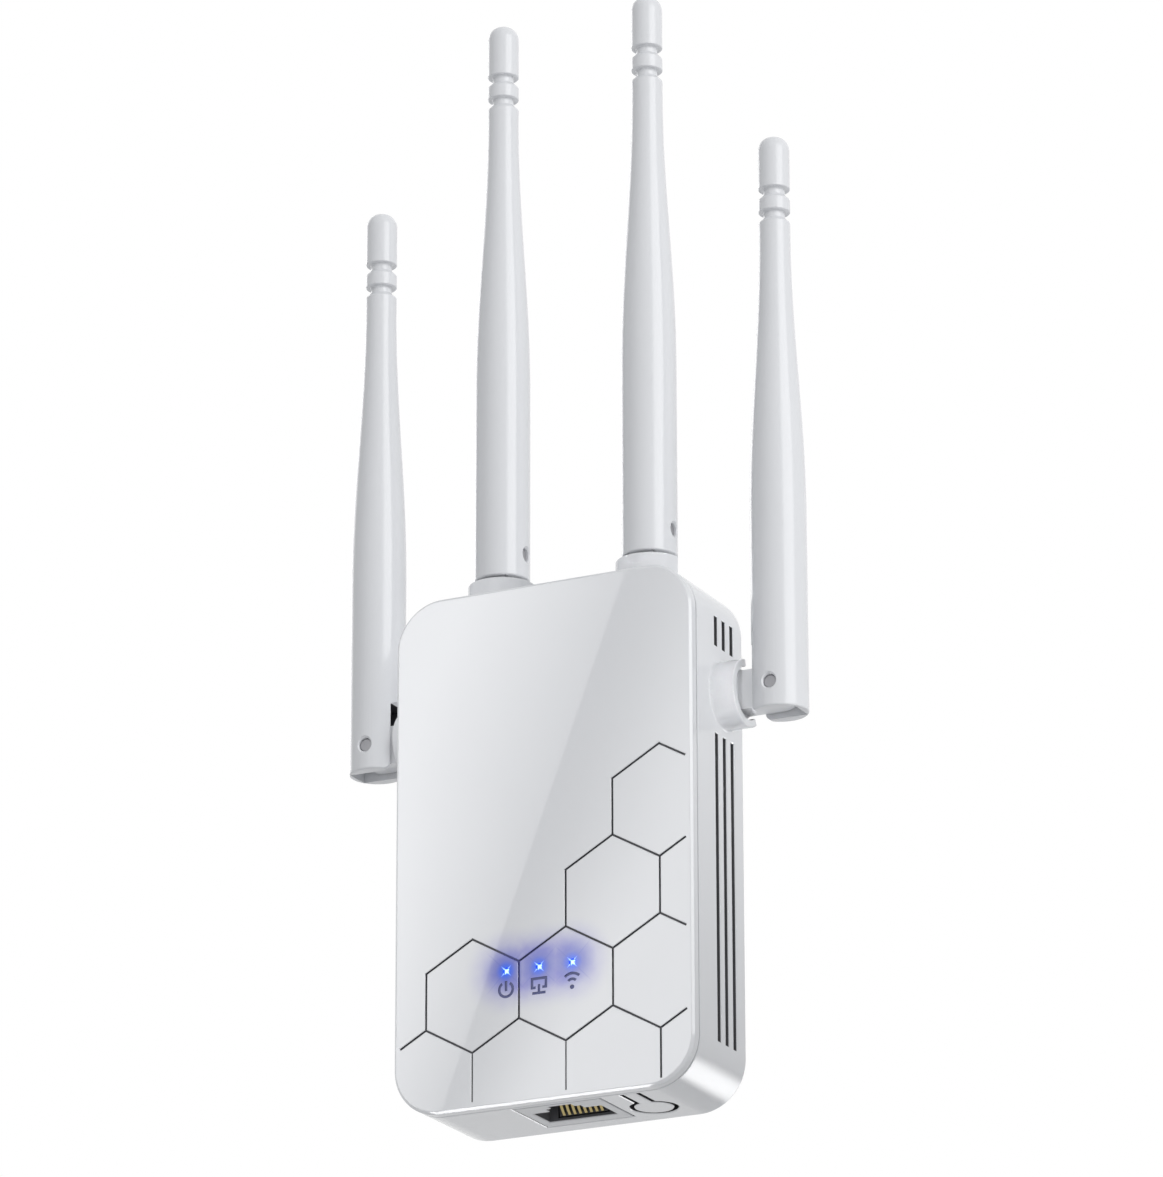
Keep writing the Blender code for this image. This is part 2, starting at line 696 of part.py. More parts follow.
def make_reset_button(finish, plunger_finish):
    """A round pad on a thin arm, with a stem up to the switch's plunger; both turn at the arm's root."""
    button = solid("reset_button", rod(BUTTON_RADIUS, (0, 0, 0), (0, 0, BUTTON_THICK), TURN_STEPS), finish)
    root = ARM_ROOT_Y - BUTTON_Y
    add(button, box((-ARM_WIDE / 2, root, 0), (ARM_WIDE / 2, 0, BUTTON_THICK)))
    plunger_low = SWITCH_Z - PLUNGER_OUT - BOTTOM_Z
    plunger_high = SWITCH_Z + PLUNGER_IN - BOTTOM_Z
    add(button, rod(STEM_RADIUS, (0, 0, BUTTON_THICK - BITE), (0, 0, plunger_low - GAP)))
    shape = rod(PLUNGER_RADIUS, (0, 0, plunger_low), (0, 0, plunger_high))
    plunger = solid("tact_plunger", shape, plunger_finish)
    axis = make_empty("reset_button_axis", Matrix.Translation((BUTTON_X, ARM_ROOT_Y, PRESS_Z)))
    for piece in (button, plunger):
        piece.data.transform(Matrix.Translation((0, -root, BOTTOM_Z - PRESS_Z)))
        hang(piece, axis)
    return button


def make_tact_switch(finish):
    half = SWITCH_WIDE / 2
    low = (BUTTON_X - half, BUTTON_Y - SWITCH_DEEP / 2, SWITCH_Z)
    high = (BUTTON_X + half, BUTTON_Y + SWITCH_DEEP / 2, SWITCH_Z + SWITCH_TALL)
    switch = solid("tact_switch", box(low, high), finish)
    depth = PLUNGER_IN + BUTTON_TRAVEL + GAP
    hole = PLUNGER_RADIUS + GAP
    bottom = (BUTTON_X, BUTTON_Y, SWITCH_Z - GAP)
    cut(switch, rod(hole, bottom, (BUTTON_X, BUTTON_Y, SWITCH_Z + depth)))
    return switch


def on_board(x, z, wide, long, tall):
    """A block that stands on the front of the board."""
    near = BOARD_Y - GAP
    return box((x - wide / 2, near - tall, z - long / 2), (x + wide / 2, near, z + long / 2))


def standing_can(x, z, radius, height):
    """A round capacitor with a rolled groove near its foot and a rounded top."""
    roll = radius * 0.9
    profile = [
        (radius, 0),
        (radius, 0.12 * height),
        (roll, 0.16 * height),
        (radius, 0.2 * height),
        (radius, 0.95 * height),
        (roll, height),
    ]
    matrix = Matrix.Translation((x, BOARD_Y - GAP, z)) @ TURN_Y_TO_Z
    return moved(turned(profile, SMALL_STEPS), matrix)


def make_light_guide(finish):
    """Three clear posts from the lights to the cover, on one bar."""
    z = LIGHT_Z
    shoulder = FRONT_Y + COVER_RIM + GAP
    end = BOARD_Y - 2 * GAP - LED_TALL
    bar_y = (shoulder + end) / 2
    first, middle, last = light_places()
    half = LIGHT_BAR / 2
    bar = box((first, bar_y - half, z - half), (last, bar_y + half, z + half))
    guide = solid("light_guide", bar, finish)
    for x in (first, middle, last):
        profile = [
            (LIGHT_POST, 0),
            (LIGHT_POST, end - shoulder),
            (LIGHT_TIP, end - shoulder),
            (LIGHT_TIP, end - FRONT_Y - GAP / 2),
        ]
        add(guide, moved(turned(profile, SMALL_STEPS), Matrix.Translation((x, end, z)) @ TURN_Y_TO_Z))
    return guide


def make_lights(finish):
    for name, x in zip(("led_power", "led_network", "led_signal"), light_places()):
        solid(name, on_board(x, LIGHT_Z, LED_WIDE, LED_LONG, LED_TALL), finish)


def make_power_parts(finishes):
    """What turns mains into low voltage: cans at the top, then the transformer, then fuse and rectifier."""
    can_z = BOARD_TOP_Z - PART_SPACE - BULK_RADIUS
    bulk_x = -PART_SPACE / 2 - BULK_RADIUS
    output_x = PART_SPACE / 2 + OUTPUT_RADIUS
    solid("bulk_capacitor", standing_can(bulk_x, can_z, BULK_RADIUS, BULK_TALL), finishes["sleeve"])
    solid("output_capacitor", standing_can(output_x, can_z, OUTPUT_RADIUS, OUTPUT_TALL), finishes["sleeve"])
    core_z = can_z - BULK_RADIUS - PART_SPACE - COIL_LONG / 2
    block = on_board(0, core_z, CORE_WIDE, CORE_LONG, CORE_TALL)
    core = solid("mains_transformer", block, finishes["ferrite"])
    coil_y = BOARD_Y - GAP - CORE_TALL / 2
    coil = (COIL_WIDE / 2, COIL_TALL / 2, COIL_LONG / 2)
    low = (-coil[0], coil_y - coil[1], core_z - coil[2])
    add(core, box(low, (coil[0], coil_y + coil[1], core_z + coil[2])))
    row_z = core_z - COIL_LONG / 2 - PART_SPACE - FUSE_RADIUS
    fuse_y = BOARD_Y - GAP - FUSE_RADIUS
    start = -PART_SPACE / 2
    fuse = rod(FUSE_RADIUS, (start - FUSE_LONG, fuse_y, row_z), (start, fuse_y, row_z))
    solid("fuse", fuse, finishes["fuse"])
    rectifier_x = PART_SPACE / 2 + BRIDGE_WIDE / 2
    bridge = on_board(rectifier_x, row_z, BRIDGE_WIDE, BRIDGE_LONG, BRIDGE_TALL)
    solid("bridge_rectifier", bridge, finishes["chip"])


def make_radio_parts(finishes):
    """The radio under its can, its memory, and the jack's transformer beside the jack."""
    shield_z = LIGHT_Z + LIGHT_POST + PART_SPACE + SHIELD_LONG / 2
    shield = on_board(SHIELD_ACROSS, shield_z, SHIELD_WIDE, SHIELD_LONG, SHIELD_TALL)
    solid("radio_shield", shield, finishes["tin"])
    memory_x = SHIELD_ACROSS + SHIELD_WIDE / 2 + PART_SPACE + MEMORY_WIDE / 2
    memory = on_board(memory_x, shield_z, MEMORY_WIDE, MEMORY_LONG, MEMORY_TALL)
    solid("memory_chip", memory, finishes["chip"])
    magnetics_x = JACK_ACROSS - JACK_WIDE / 2 - PART_SPACE - MAGNETICS_WIDE / 2
    magnetics_z = BOARD_BOTTOM_Z + PART_SPACE + MAGNETICS_LONG / 2
    magnetics = on_board(magnetics_x, magnetics_z, MAGNETICS_WIDE, MAGNETICS_LONG, MAGNETICS_TALL)
    solid("ethernet_transformer", magnetics, finishes["chip"])


def make_hinges():
    """Each hinge: its place on the wall, the way out, the fold direction and the antenna's rest tilt."""
    up = Vector((0, 0, 1))
    back = Vector((0, 1, 0))
    hinges = []
    for name, side in (("left", -1), ("right", 1)):
        across = Vector((side, 0, 0))
        hinges.append({
            "name": "top_" + name,
            "place": Vector((side * TOP_HINGE_ACROSS, HINGE_Y, TOP_Z)),
            "out": up,
            "fold": back,
            "guard_end": across,
            "guard": TOP_GUARD,
            "rest_tilt": 0.0,
        })
        hinges.append({
            "name": "side_" + name,
            "place": Vector((side * SIDE_X, HINGE_Y, SIDE_HINGE_Z)),
            "out": across,
            "fold": up,
            "guard_end": up,
            "guard": SIDE_GUARD,
            "rest_tilt": pi / 2,
        })
    return hinges


def swivel_matrix(hinge):
    """A swivel's own axes: Z out of the wall, X the way the antenna folds, Y along the pin."""
    matrix = Matrix.Identity(4)
    matrix.col[0][:3] = hinge["fold"]
    matrix.col[1][:3] = hinge["out"].cross(hinge["fold"])
    matrix.col[2][:3] = hinge["out"]
    matrix.translation = hinge["place"]
    return matrix


def make_swivel_base(hinge, finish):
    """A turned foot with a neck through the wall, and the tongue that the pin goes through."""
    groove_high = -WALL - GAP / 2
    groove_low = groove_high - CLIP_THICK - GAP
    profile = [
        (LEAD_HOLE, -WALL / 2),
        (LEAD_HOLE, NECK_END),
        (NECK_RADIUS, NECK_END),
        (NECK_RADIUS, groove_low),
        (NECK_RADIUS - CLIP_GROOVE, groove_low),
        (NECK_RADIUS - CLIP_GROOVE, groove_high),
        (NECK_RADIUS, groove_high),
        (NECK_RADIUS, GAP),
        (SWIVEL_RADIUS, GAP),
        (SWIVEL_RADIUS, SWIVEL_TOP),
    ]
    swivel = solid("swivel_base_" + hinge["name"], turned(profile), finish)
    outline = [(TONGUE_RADIUS, SWIVEL_TOP - BITE)]
    for step in range(SMALL_STEPS + 1):
        angle = pi * step / SMALL_STEPS
        outline.append((TONGUE_RADIUS * cos(angle), PIN_OUT + TONGUE_RADIUS * sin(angle)))
    outline.append((-TONGUE_RADIUS, SWIVEL_TOP - BITE))
    half = FORK_SLOT / 2 - GAP
    add(swivel, prism(outline, -half, half))
    hole = PIN_RADIUS + GAP
    cut(swivel, rod(hole, (0, -FORK_SLOT, PIN_OUT), (0, FORK_SLOT, PIN_OUT)))
    return swivel


def make_retaining_clip(hinge, finish):
    """A snap ring in the neck's groove, behind the wall."""
    high = -WALL - GAP
    inner = NECK_RADIUS - CLIP_GROOVE + GAP
    start = CLIP_OPENING
    end = 2 * pi - CLIP_OPENING
    ring = ring_sector(inner, CLIP_RADIUS, high - CLIP_THICK, high, start, end, SMALL_STEPS)
    return solid("retaining_clip_" + hinge["name"], ring, finish)


def antenna_profile():
    """Outer radii of an antenna along its length, heights from the pin."""
    foot = -FOOT
    profile = [(ANTENNA_RADIUS - FOOT_CHAMFER, foot), (ANTENNA_RADIUS, foot + FOOT_CHAMFER)]
    for step in range(TAPER_STEPS + 1):
        share = step / TAPER_STEPS
        ease = (1 - cos(pi * share)) / 2
        radius = ANTENNA_RADIUS + (SLIM_RADIUS - ANTENNA_RADIUS) * ease
        profile.append((radius, foot + TAPER_START + (TAPER_END - TAPER_START) * share))
    tip = foot + ANTENNA_LONG
    neck = TIP_RADIUS - RING_GROOVE_DEEP
    for from_tip in sorted(GROOVE_FROM_TIP, reverse=True):
        middle = tip - from_tip
        half = RING_GROOVE_TALL / 2
        profile.append((TIP_RADIUS, middle - half - RING_GROOVE_DEEP))
        profile.append((neck, middle - half))
        profile.append((neck, middle + half))
        profile.append((TIP_RADIUS, middle + half))
    for step in range(EDGE_STEPS + 1):
        angle = pi / 2 * step / EDGE_STEPS
        radius = TIP_FLAT + (TIP_RADIUS - TIP_FLAT) * cos(angle)
        profile.append((radius, tip - TIP_ROUND * (1 - sin(angle))))
    return profile


def make_antenna_shell(hinge, finish):
    """A hollow tapered antenna whose foot is a fork, open at its end and on the side it folds to."""
    bore_end = ANTENNA_LONG - FOOT - BORE_SHORT
    profile = [(BORE_RADIUS, bore_end), (BORE_RADIUS, -FOOT)] + antenna_profile()
    shell = solid("antenna_shell_" + hinge["name"], turned(profile), finish)
    half = FORK_SLOT / 2
    slot_top = TONGUE_RADIUS + SLOT_SPARE
    low = (FORK_BACK - ANTENNA_RADIUS, -half, -2 * FOOT)
    cut(shell, box(low, (2 * ANTENNA_RADIUS, half, slot_top)))
    hole = PIN_RADIUS + GAP
    reach = 2 * ANTENNA_RADIUS
    cut(shell, rod(hole, (0, -reach, 0), (0, reach, 0)))
    return shell


def make_hinge_pin(hinge, finish):
    reach = ANTENNA_RADIUS - PIN_SUNK
    return solid("hinge_pin_" + hinge["name"], rod(PIN_RADIUS, (0, -reach, 0), (0, reach, 0)), finish)


def make_antenna_element(hinge, finish):
    """The radiating wire with its tuned sleeve, inside the shell."""
    sleeve = BORE_RADIUS - GAP
    start = TONGUE_RADIUS + SLOT_SPARE + GAP
    end = ANTENNA_LONG - FOOT - BORE_SHORT - GAP
    profile = [
        (ELEMENT_WIRE, start),
        (ELEMENT_WIRE, SLEEVE_START),
        (sleeve, SLEEVE_START),
        (sleeve, SLEEVE_START + SLEEVE_LONG),
        (ELEMENT_WIRE, SLEEVE_START + SLEEVE_LONG),
        (ELEMENT_WIRE, end),
    ]
    return solid("antenna_element_" + hinge["name"], turned(profile, SMALL_STEPS), finish)


def make_antenna_lead(hinge, finish):
    """A coaxial lead from the board into the swivel's neck, on one smooth bend."""
    inward = -hinge["out"]
    end = hinge["place"] + inward * (-NECK_END - 2 * GAP)
    start = end + inward * LEAD_RUN - hinge["fold"] * LEAD_DROP
    start.y = BOARD_Y - GAP
    controls = (start, start - Vector((0, LEAD_BEND, 0)), end + inward * LEAD_BEND, end)
    curve = bpy.data.curves.new("antenna_lead_" + hinge["name"], "CURVE")
    curve.dimensions = "3D"
    curve.bevel_depth = LEAD_RADIUS
    curve.bevel_resolution = 1
    curve.use_fill_caps = True
    spline = curve.splines.new("POLY")
    count = SMALL_STEPS
    spline.points.add(count)
    for i in range(count + 1):
        t = i / count
        weights = ((1 - t) ** 3, 3 * t * (1 - t) ** 2, 3 * t * t * (1 - t), t**3)
        point = sum((control * weight for control, weight in zip(controls, weights)), Vector())
        spline.points[i].co = (*point, 1)
    lead = bpy.data.objects.new(curve.name, curve)
    curve.materials.append(finish)
    bpy.context.scene.collection.objects.link(lead)
    return lead


def make_antenna(hinge, finishes):
    """One antenna with its hinge: the swivel rides on the case, and the antenna on the pin."""
    swivel_axis = make_empty("swivel_axis_" + hinge["name"], swivel_matrix(hinge))
    tilt = Matrix.Translation((0, 0, PIN_OUT)) @ Matrix.Rotation(hinge["rest_tilt"], 4, "Y")
    tilt_axis = make_empty("tilt_axis_" + hinge["name"], tilt, swivel_axis)
    hang(make_swivel_base(hinge, finishes["white"]), swivel_axis)
    hang(make_retaining_clip(hinge, finishes["tin"]), swivel_axis)
    hang(make_antenna_shell(hinge, finishes["white"]), tilt_axis)
    hang(make_hinge_pin(hinge, finishes["steel"]), tilt_axis)
    hang(make_antenna_element(hinge, finishes["brass"]), tilt_axis)
    make_antenna_lead(hinge, finishes["lead"])


def make_finishes():
    return {
        "white": make_finish("white_abs", (0.84, 0.85, 0.87), 0.22),
        "board": make_finish("board_green", (0.03, 0.2, 0.09), 0.45),
        "jack": make_finish("jack_grey", (0.62, 0.63, 0.65), 0.4),
        "gold": make_finish("contact_gold", (0.83, 0.64, 0.28), 0.25, 1.0),
        "clear": make_finish("clear_guide", (0.7, 0.82, 0.95), 0.1),
        "light": make_finish("blue_light", (0.1, 0.35, 1.0), 0.3),
        "brass": make_finish("brass", (0.78, 0.6, 0.3), 0.3, 1.0),
        "steel": make_finish("pin_steel", (0.55, 0.56, 0.58), 0.35, 1.0),
        "tin": make_finish("tinned_steel", (0.7, 0.71, 0.72), 0.35, 1.0),
        "chip": make_finish("chip_black", (0.03, 0.03, 0.035), 0.5),
        "ferrite": make_finish("ferrite", (0.06, 0.06, 0.065), 0.55),
        "sleeve": make_finish("capacitor_sleeve", (0.05, 0.06, 0.12), 0.35),
        "fuse": make_finish("fuse_body", (0.35, 0.2, 0.1), 0.5),
        "lead": make_finish("lead_jacket", (0.04, 0.04, 0.045), 0.45),
    }


def main():
    clear_scene()
    finishes = make_finishes()
    hinges = make_hinges()
    make_front_cover(finishes["white"])
    make_rear_housing(finishes["white"], hinges)
    for name, side in (("plug_blade_left", -1), ("plug_blade_right", 1)):
        make_plug_blade(name, side, finishes["brass"])
    make_main_board(finishes["board"])
    for name, (x, z, has_screw) in zip(("board_screw_left", "board_screw_right"), post_places()):
        make_board_screw(name, x, z, finishes["steel"])
    make_ethernet_jack(finishes["jack"])
    make_jack_contacts(finishes["gold"])
    make_light_guide(finishes["clear"])
    make_lights(finishes["light"])
    make_reset_button(finishes["white"], finishes["fuse"])
    make_tact_switch(finishes["chip"])
    make_power_parts(finishes)
    make_radio_parts(finishes)
    for hinge in hinges:
        make_antenna(hinge, finishes)


main()
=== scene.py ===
# %% [markdown]
# # A plug-in wifi range extender, dressed for its portrait
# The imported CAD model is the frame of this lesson: every piece is there, at its real size and on its
# own moving body. Here we build the skin that people see, finer than CAD needs, and give each surface
# the finish of the real one. First the scene is emptied, the frame is loaded and its box is kept,
# so that we can show at the end that the dressed part has not grown.

import json
from math import asin, cos, hypot, pi, radians, sin

import bmesh
import bpy
from mathutils import Matrix, Vector

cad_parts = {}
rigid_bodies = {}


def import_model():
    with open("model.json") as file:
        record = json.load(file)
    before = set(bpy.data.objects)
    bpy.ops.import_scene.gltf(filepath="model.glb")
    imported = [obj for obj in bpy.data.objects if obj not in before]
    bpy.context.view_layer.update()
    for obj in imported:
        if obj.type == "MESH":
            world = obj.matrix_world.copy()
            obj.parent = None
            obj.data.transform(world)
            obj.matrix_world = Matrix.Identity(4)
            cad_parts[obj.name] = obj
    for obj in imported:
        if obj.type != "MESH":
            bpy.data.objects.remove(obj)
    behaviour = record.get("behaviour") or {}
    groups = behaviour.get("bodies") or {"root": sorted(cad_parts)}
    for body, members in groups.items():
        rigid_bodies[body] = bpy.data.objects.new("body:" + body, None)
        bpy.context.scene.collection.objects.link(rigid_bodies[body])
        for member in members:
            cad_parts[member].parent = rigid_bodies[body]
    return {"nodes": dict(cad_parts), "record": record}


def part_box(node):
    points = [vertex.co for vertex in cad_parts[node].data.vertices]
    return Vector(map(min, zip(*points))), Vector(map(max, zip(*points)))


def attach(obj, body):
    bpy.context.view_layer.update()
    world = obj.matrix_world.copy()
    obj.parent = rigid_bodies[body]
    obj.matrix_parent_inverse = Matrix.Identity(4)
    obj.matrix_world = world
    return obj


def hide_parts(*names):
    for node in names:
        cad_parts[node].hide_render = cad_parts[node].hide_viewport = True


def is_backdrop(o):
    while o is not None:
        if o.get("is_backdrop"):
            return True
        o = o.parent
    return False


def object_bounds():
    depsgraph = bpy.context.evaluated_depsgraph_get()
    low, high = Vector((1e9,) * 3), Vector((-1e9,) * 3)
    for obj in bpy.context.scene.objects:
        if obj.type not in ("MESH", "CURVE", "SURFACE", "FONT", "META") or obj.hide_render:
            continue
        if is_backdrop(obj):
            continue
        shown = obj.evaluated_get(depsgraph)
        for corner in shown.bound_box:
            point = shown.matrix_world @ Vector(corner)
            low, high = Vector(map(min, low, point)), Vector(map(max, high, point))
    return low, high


for old in list(bpy.data.objects):
    bpy.data.objects.remove(old, do_unlink=True)
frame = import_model()
cad_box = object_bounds()
scene = bpy.context.scene
MM = 0.001

# %% [markdown]
# ## The camera
# The photograph looks up at the extender from the lower right, through a long lens about a metre away.
# The place and the angles were fitted to the case edges and the honeycomb lines. A long lens keeps
# the upright edges nearly parallel, which is how product photographs are usually taken.

# %% Camera
FRAME_HEIGHT = 1177
FOCAL_PIXELS = 6500
CAMERA_PLACE = Vector((471.322, -952.078, -326.740)) * MM


def axes(place, x, y, z):
    """The matrix of something that stands at a place, with its axes along three directions."""
    matrix = Matrix.Identity(4)
    for count, direction in enumerate((x, y, z)):
        matrix.col[count][:3] = direction
    matrix.translation = place
    return matrix


azimuth = radians(26.4682)
elevation = radians(-19.3626)
roll = radians(-0.1252)
backward = Vector((sin(azimuth) * cos(elevation), -cos(azimuth) * cos(elevation), sin(elevation)))
level = Vector((cos(azimuth), sin(azimuth), 0))
upward = backward.cross(level)
camera_data = bpy.data.cameras.new("portrait")
camera_data.sensor_width = 36
camera_data.lens = FOCAL_PIXELS / FRAME_HEIGHT * camera_data.sensor_width
camera = bpy.data.objects.new("portrait", camera_data)
scene.collection.objects.link(camera)
rightward = level * cos(roll) + upward * sin(roll)
camera.matrix_world = axes(CAMERA_PLACE, rightward, upward * cos(roll) - level * sin(roll), backward)
scene.camera = camera
scene.view_settings.view_transform = "Standard"
print("lens", round(camera_data.lens, 1), "mm")

# %% [markdown]
# ## Light for a white object on white
# White plastic on a white ground is drawn by its gloss and by soft shade, so the ground may be white
# to the eye while less light falls on the object. The world is white for camera and mirror rays and
# half as bright for the rest. Three large softboxes shade the object: a key at the right for the antennas,
# one in front for the case, and one behind for the other views. Two narrow beams lift the right collar
# and the right wall. The cards are seen by the gloss alone, and their light fades towards their edges.

# %% World and softboxes


def node(tree, kind, inputs, **settings):
    """Adds a node; a value that is a socket is linked, and any other is set."""
    made = tree.nodes.new(kind)
    for key, value in settings.items():
        setattr(made, key, value)
    for key, value in inputs.items():
        if isinstance(value, bpy.types.NodeSocket):
            tree.links.new(value, made.inputs[key])
        else:
            made.inputs[key].default_value = value
    return made


def calculate(tree, operation, first, second=0.0, clamp=False):
    made = node(tree, "ShaderNodeMath", {0: first, 1: second}, operation=operation, use_clamp=clamp)
    return made.outputs[0]


world = bpy.data.worlds.new("studio")
scene.world = world
world.use_nodes = True
tree = world.node_tree
ambient = tree.nodes["Background"]
ambient.inputs["Color"].default_value = (0.97, 0.98, 1.0, 1.0)
ambient.inputs["Strength"].default_value = 0.53
ground = node(tree, "ShaderNodeBackground", {"Color": (1, 1, 1, 1), "Strength": 1.0})
path = node(tree, "ShaderNodeLightPath", {})
seen = calculate(tree, "MAXIMUM", path.outputs["Is Camera Ray"], path.outputs["Is Glossy Ray"])
seen = calculate(tree, "MAXIMUM", seen, path.outputs["Is Transmission Ray"])
sky = node(tree, "ShaderNodeMixShader", {0: seen, 1: ambient.outputs[0], 2: ground.outputs[0]})
tree.links.new(sky.outputs[0], tree.nodes["World Output"].inputs["Surface"])


def between(tree, value, low, high, start=0.0, end=1.0, kind="LINEAR"):
    """Carries value from the range start to end over to the range low to high."""
    inputs = {0: value, 1: start, 2: end, 3: low, 4: high}
    return node(tree, "ShaderNodeMapRange", inputs, interpolation_type=kind).outputs[0]


def softbox(name, centre, across, along, wide, tall, card):
    """A rectangular lamp of unit radiance; a card is seen by the gloss alone, other lamps by the rest."""
    lamp = bpy.data.lights.new(name, "AREA")
    lamp.shape = "RECTANGLE"
    lamp.size = wide
    lamp.size_y = tall
    lamp.energy = 4 * wide * tall
    lamp.use_nodes = True
    holder = bpy.data.objects.new(name, lamp)
    scene.collection.objects.link(holder)
    across = across.normalized()
    facing = across.cross(along).normalized()
    holder.matrix_world = axes(centre, across, facing.cross(across), facing)
    holder.visible_camera = False
    holder.visible_diffuse = not card
    holder.visible_glossy = card
    tree = lamp.node_tree
    spot = node(tree, "ShaderNodeTexCoord", {}).outputs["UV"]
    part = node(tree, "ShaderNodeSeparateXYZ", {0: spot})
    return tree, part.outputs["X"], part.outputs["Y"]


def set_strength(tree, strength):
    tree.links.new(strength, tree.nodes["Emission"].inputs["Strength"])


def aimed(name, place, wide, tall, radiance, card=False, flat=0.1, target=(0, 0, 0), spread=180):
    """A softbox that faces its target; a card fades to its edges, and a small spread makes a beam."""
    facing = (Vector(place) - Vector(target)).normalized()
    across = Vector((0, 0, 1)).cross(facing)
    tree, u, v = softbox(name, Vector(place), across, facing.cross(across), wide, tall, card)
    tree.nodes["Emission"].inputs["Strength"].default_value = radiance
    bpy.data.lights[name].spread = radians(spread)
    if card:
        off = [calculate(tree, "ABSOLUTE", calculate(tree, "SUBTRACT", value, 0.5)) for value in (u, v)]
        fades = [between(tree, value, 1, 0, flat, 0.5, "SMOOTHSTEP") for value in off]
        set_strength(tree, calculate(tree, "MULTIPLY", calculate(tree, "MULTIPLY", *fades), radiance))


aimed("key_softbox", (1.3, -0.65, 0.53), 1.1, 1.1, 2.35)
aimed("case_softbox", (0.1, -1.35, 0.5), 0.9, 0.9, 1.55)
aimed("rear_softbox", (-0.9, 1.1, 0.6), 1.1, 1.1, 1.2)
aimed("antenna_card", (0.85, -0.34, 0.31), 0.84, 0.9, 1.8, card=True, flat=0.33)
aimed("edge_card", (-0.73, 0.42, 0.3), 0.7, 0.9, 1.2, card=True, flat=0.3)
aimed("rim_card", (0.76, -0.38, 0.3), 0.5, 0.5, 3.6, card=True, flat=0.3)
aimed("collar_beam", (0.06, -0.6, -0.25), 0.03, 0.03, 0.48, target=(0.034, -0.012, 0.02), spread=8)
aimed("side_beam", (1.0, -0.02, 0.035), 0.04, 0.04, 1.4, target=(0.03, -0.01, 0.033), spread=10)
aimed("foot_card", (-0.19, -0.15, -0.38), 0.2, 0.2, 9.0, card=True, flat=0.3, target=(0, -0.02, -0.05))
aimed("corner_card", (0.27, 0.68, -0.34), 0.5, 0.5, 4.0, card=True)
print("lamps", [lamp.name for lamp in bpy.data.lights])

# %% [markdown]
# ## A gradient in the front face
# A flat glossy face is a mirror, so it shows a small part of the studio, and what hangs there decides
# how the face reads. The card is placed by reflecting the camera in the face: a line from that mirror
# point through a point of the face meets the card where the point's reflection lies. Its light has
# a step along a slanting line, which the face then shows from its top right to its lower left.

# %% Card for the front face
FRONT_Y = -20.5 * MM
CARD_AWAY = 0.7
CARD_WIDE = 0.2
CARD_TALL = 0.4
CARD_BELOW = 0.12
line_top = Vector((14.7 * MM, FRONT_Y, 38.0 * MM))
line_foot = Vector((-18.25 * MM, FRONT_Y, -47.75 * MM))
mirrored = Vector((CAMERA_PLACE.x, 2 * FRONT_Y - CAMERA_PLACE.y, CAMERA_PLACE.z))
ends = [point + (point - mirrored).normalized() * CARD_AWAY for point in (line_top, line_foot)]
along = (ends[0] - ends[1]).normalized()
across = along.cross(line_top - mirrored)
middle = ends[1] + along * (CARD_TALL / 2 - CARD_BELOW)
tree, u, v = softbox("front_card", middle, across, along, CARD_WIDE, CARD_TALL, True)
off = calculate(tree, "MULTIPLY", calculate(tree, "SUBTRACT", u, 0.5), between(tree, v, 1.6, 1.0, 0.3, 0.52))
near_side = between(tree, off, 4.7, 1.2, -0.2, 0.0)
far_side = between(tree, off, 0.0, 3.05, 0.0, 0.21, "SMOOTHSTEP")
past = calculate(tree, "GREATER_THAN", off, 0.0)
set_strength(tree, node(tree, "ShaderNodeMix", {0: past, 2: near_side, 3: far_side}).outputs[0])
print("line in the front", [round(value / MM, 1) for value in line_top - line_foot], "mm")

# %% [markdown]
# ## How moulded plastic looks
# The case is injection-moulded in white plastic. A polished mould leaves a mirror gloss, and a plainer
# one a satin skin. Neither is perfectly even: the colour drifts a little where the melt cooled at
# different speeds, the gloss varies with the mould's polish, and the skin has a faint orange peel.
# One recipe makes all of these from noise in the object's own space.

# %% Moulded plastic


def new_finish(name):
    finish = bpy.data.materials.new(name)
    finish.use_nodes = True
    tree = finish.node_tree
    return finish, tree, tree.nodes["Principled BSDF"]


def speckle(tree, size, detail=2.0, stretch=(1, 1, 1)):
    """Noise with features of the given size, in metres, drawn out along the axes by stretch."""
    spot = node(tree, "ShaderNodeTexCoord", {}).outputs["Object"]
    scale = [1 / (size * share) for share in stretch]
    spread = node(tree, "ShaderNodeMapping", {"Vector": spot, "Scale": scale}).outputs[0]
    return node(tree, "ShaderNodeTexNoise", {"Vector": spread, "Scale": 1.0, "Detail": detail}).outputs[0]


def blend(tree, share, first, second):
    """A colour between two; each is a colour or a socket."""
    first, second = [c if isinstance(c, bpy.types.NodeSocket) else (*c, 1.0) for c in (first, second)]
    return node(tree, "ShaderNodeMix", {0: share, 6: first, 7: second}, data_type="RGBA").outputs[2]


def varied(colour, change):
    return [min(1.0, channel * (1 + change)) for channel in colour]


def bumped(tree, shader, height, strength, distance):
    bump = node(tree, "ShaderNodeBump", {"Height": height, "Strength": strength, "Distance": distance})
    tree.links.new(bump.outputs[0], shader.inputs["Normal"])


def moulded(name, colour, roughness, peel=0.05, grain=0.6 * MM, drift=0.012):
    """A moulded plastic: colour drift over centimetres, uneven gloss and a fine skin."""
    finish, tree, shader = new_finish(name)
    cloud = speckle(tree, 18 * MM)
    tone = blend(tree, cloud, varied(colour, -drift), varied(colour, drift))
    tree.links.new(tone, shader.inputs["Base Color"])
    polish = between(tree, speckle(tree, 9 * MM, 1.0), roughness * 0.92, roughness * 1.08)
    tree.links.new(polish, shader.inputs["Roughness"])
    shader.inputs["IOR"].default_value = 1.5
    bumped(tree, shader, speckle(tree, grain), peel, 0.02 * MM)
    return finish


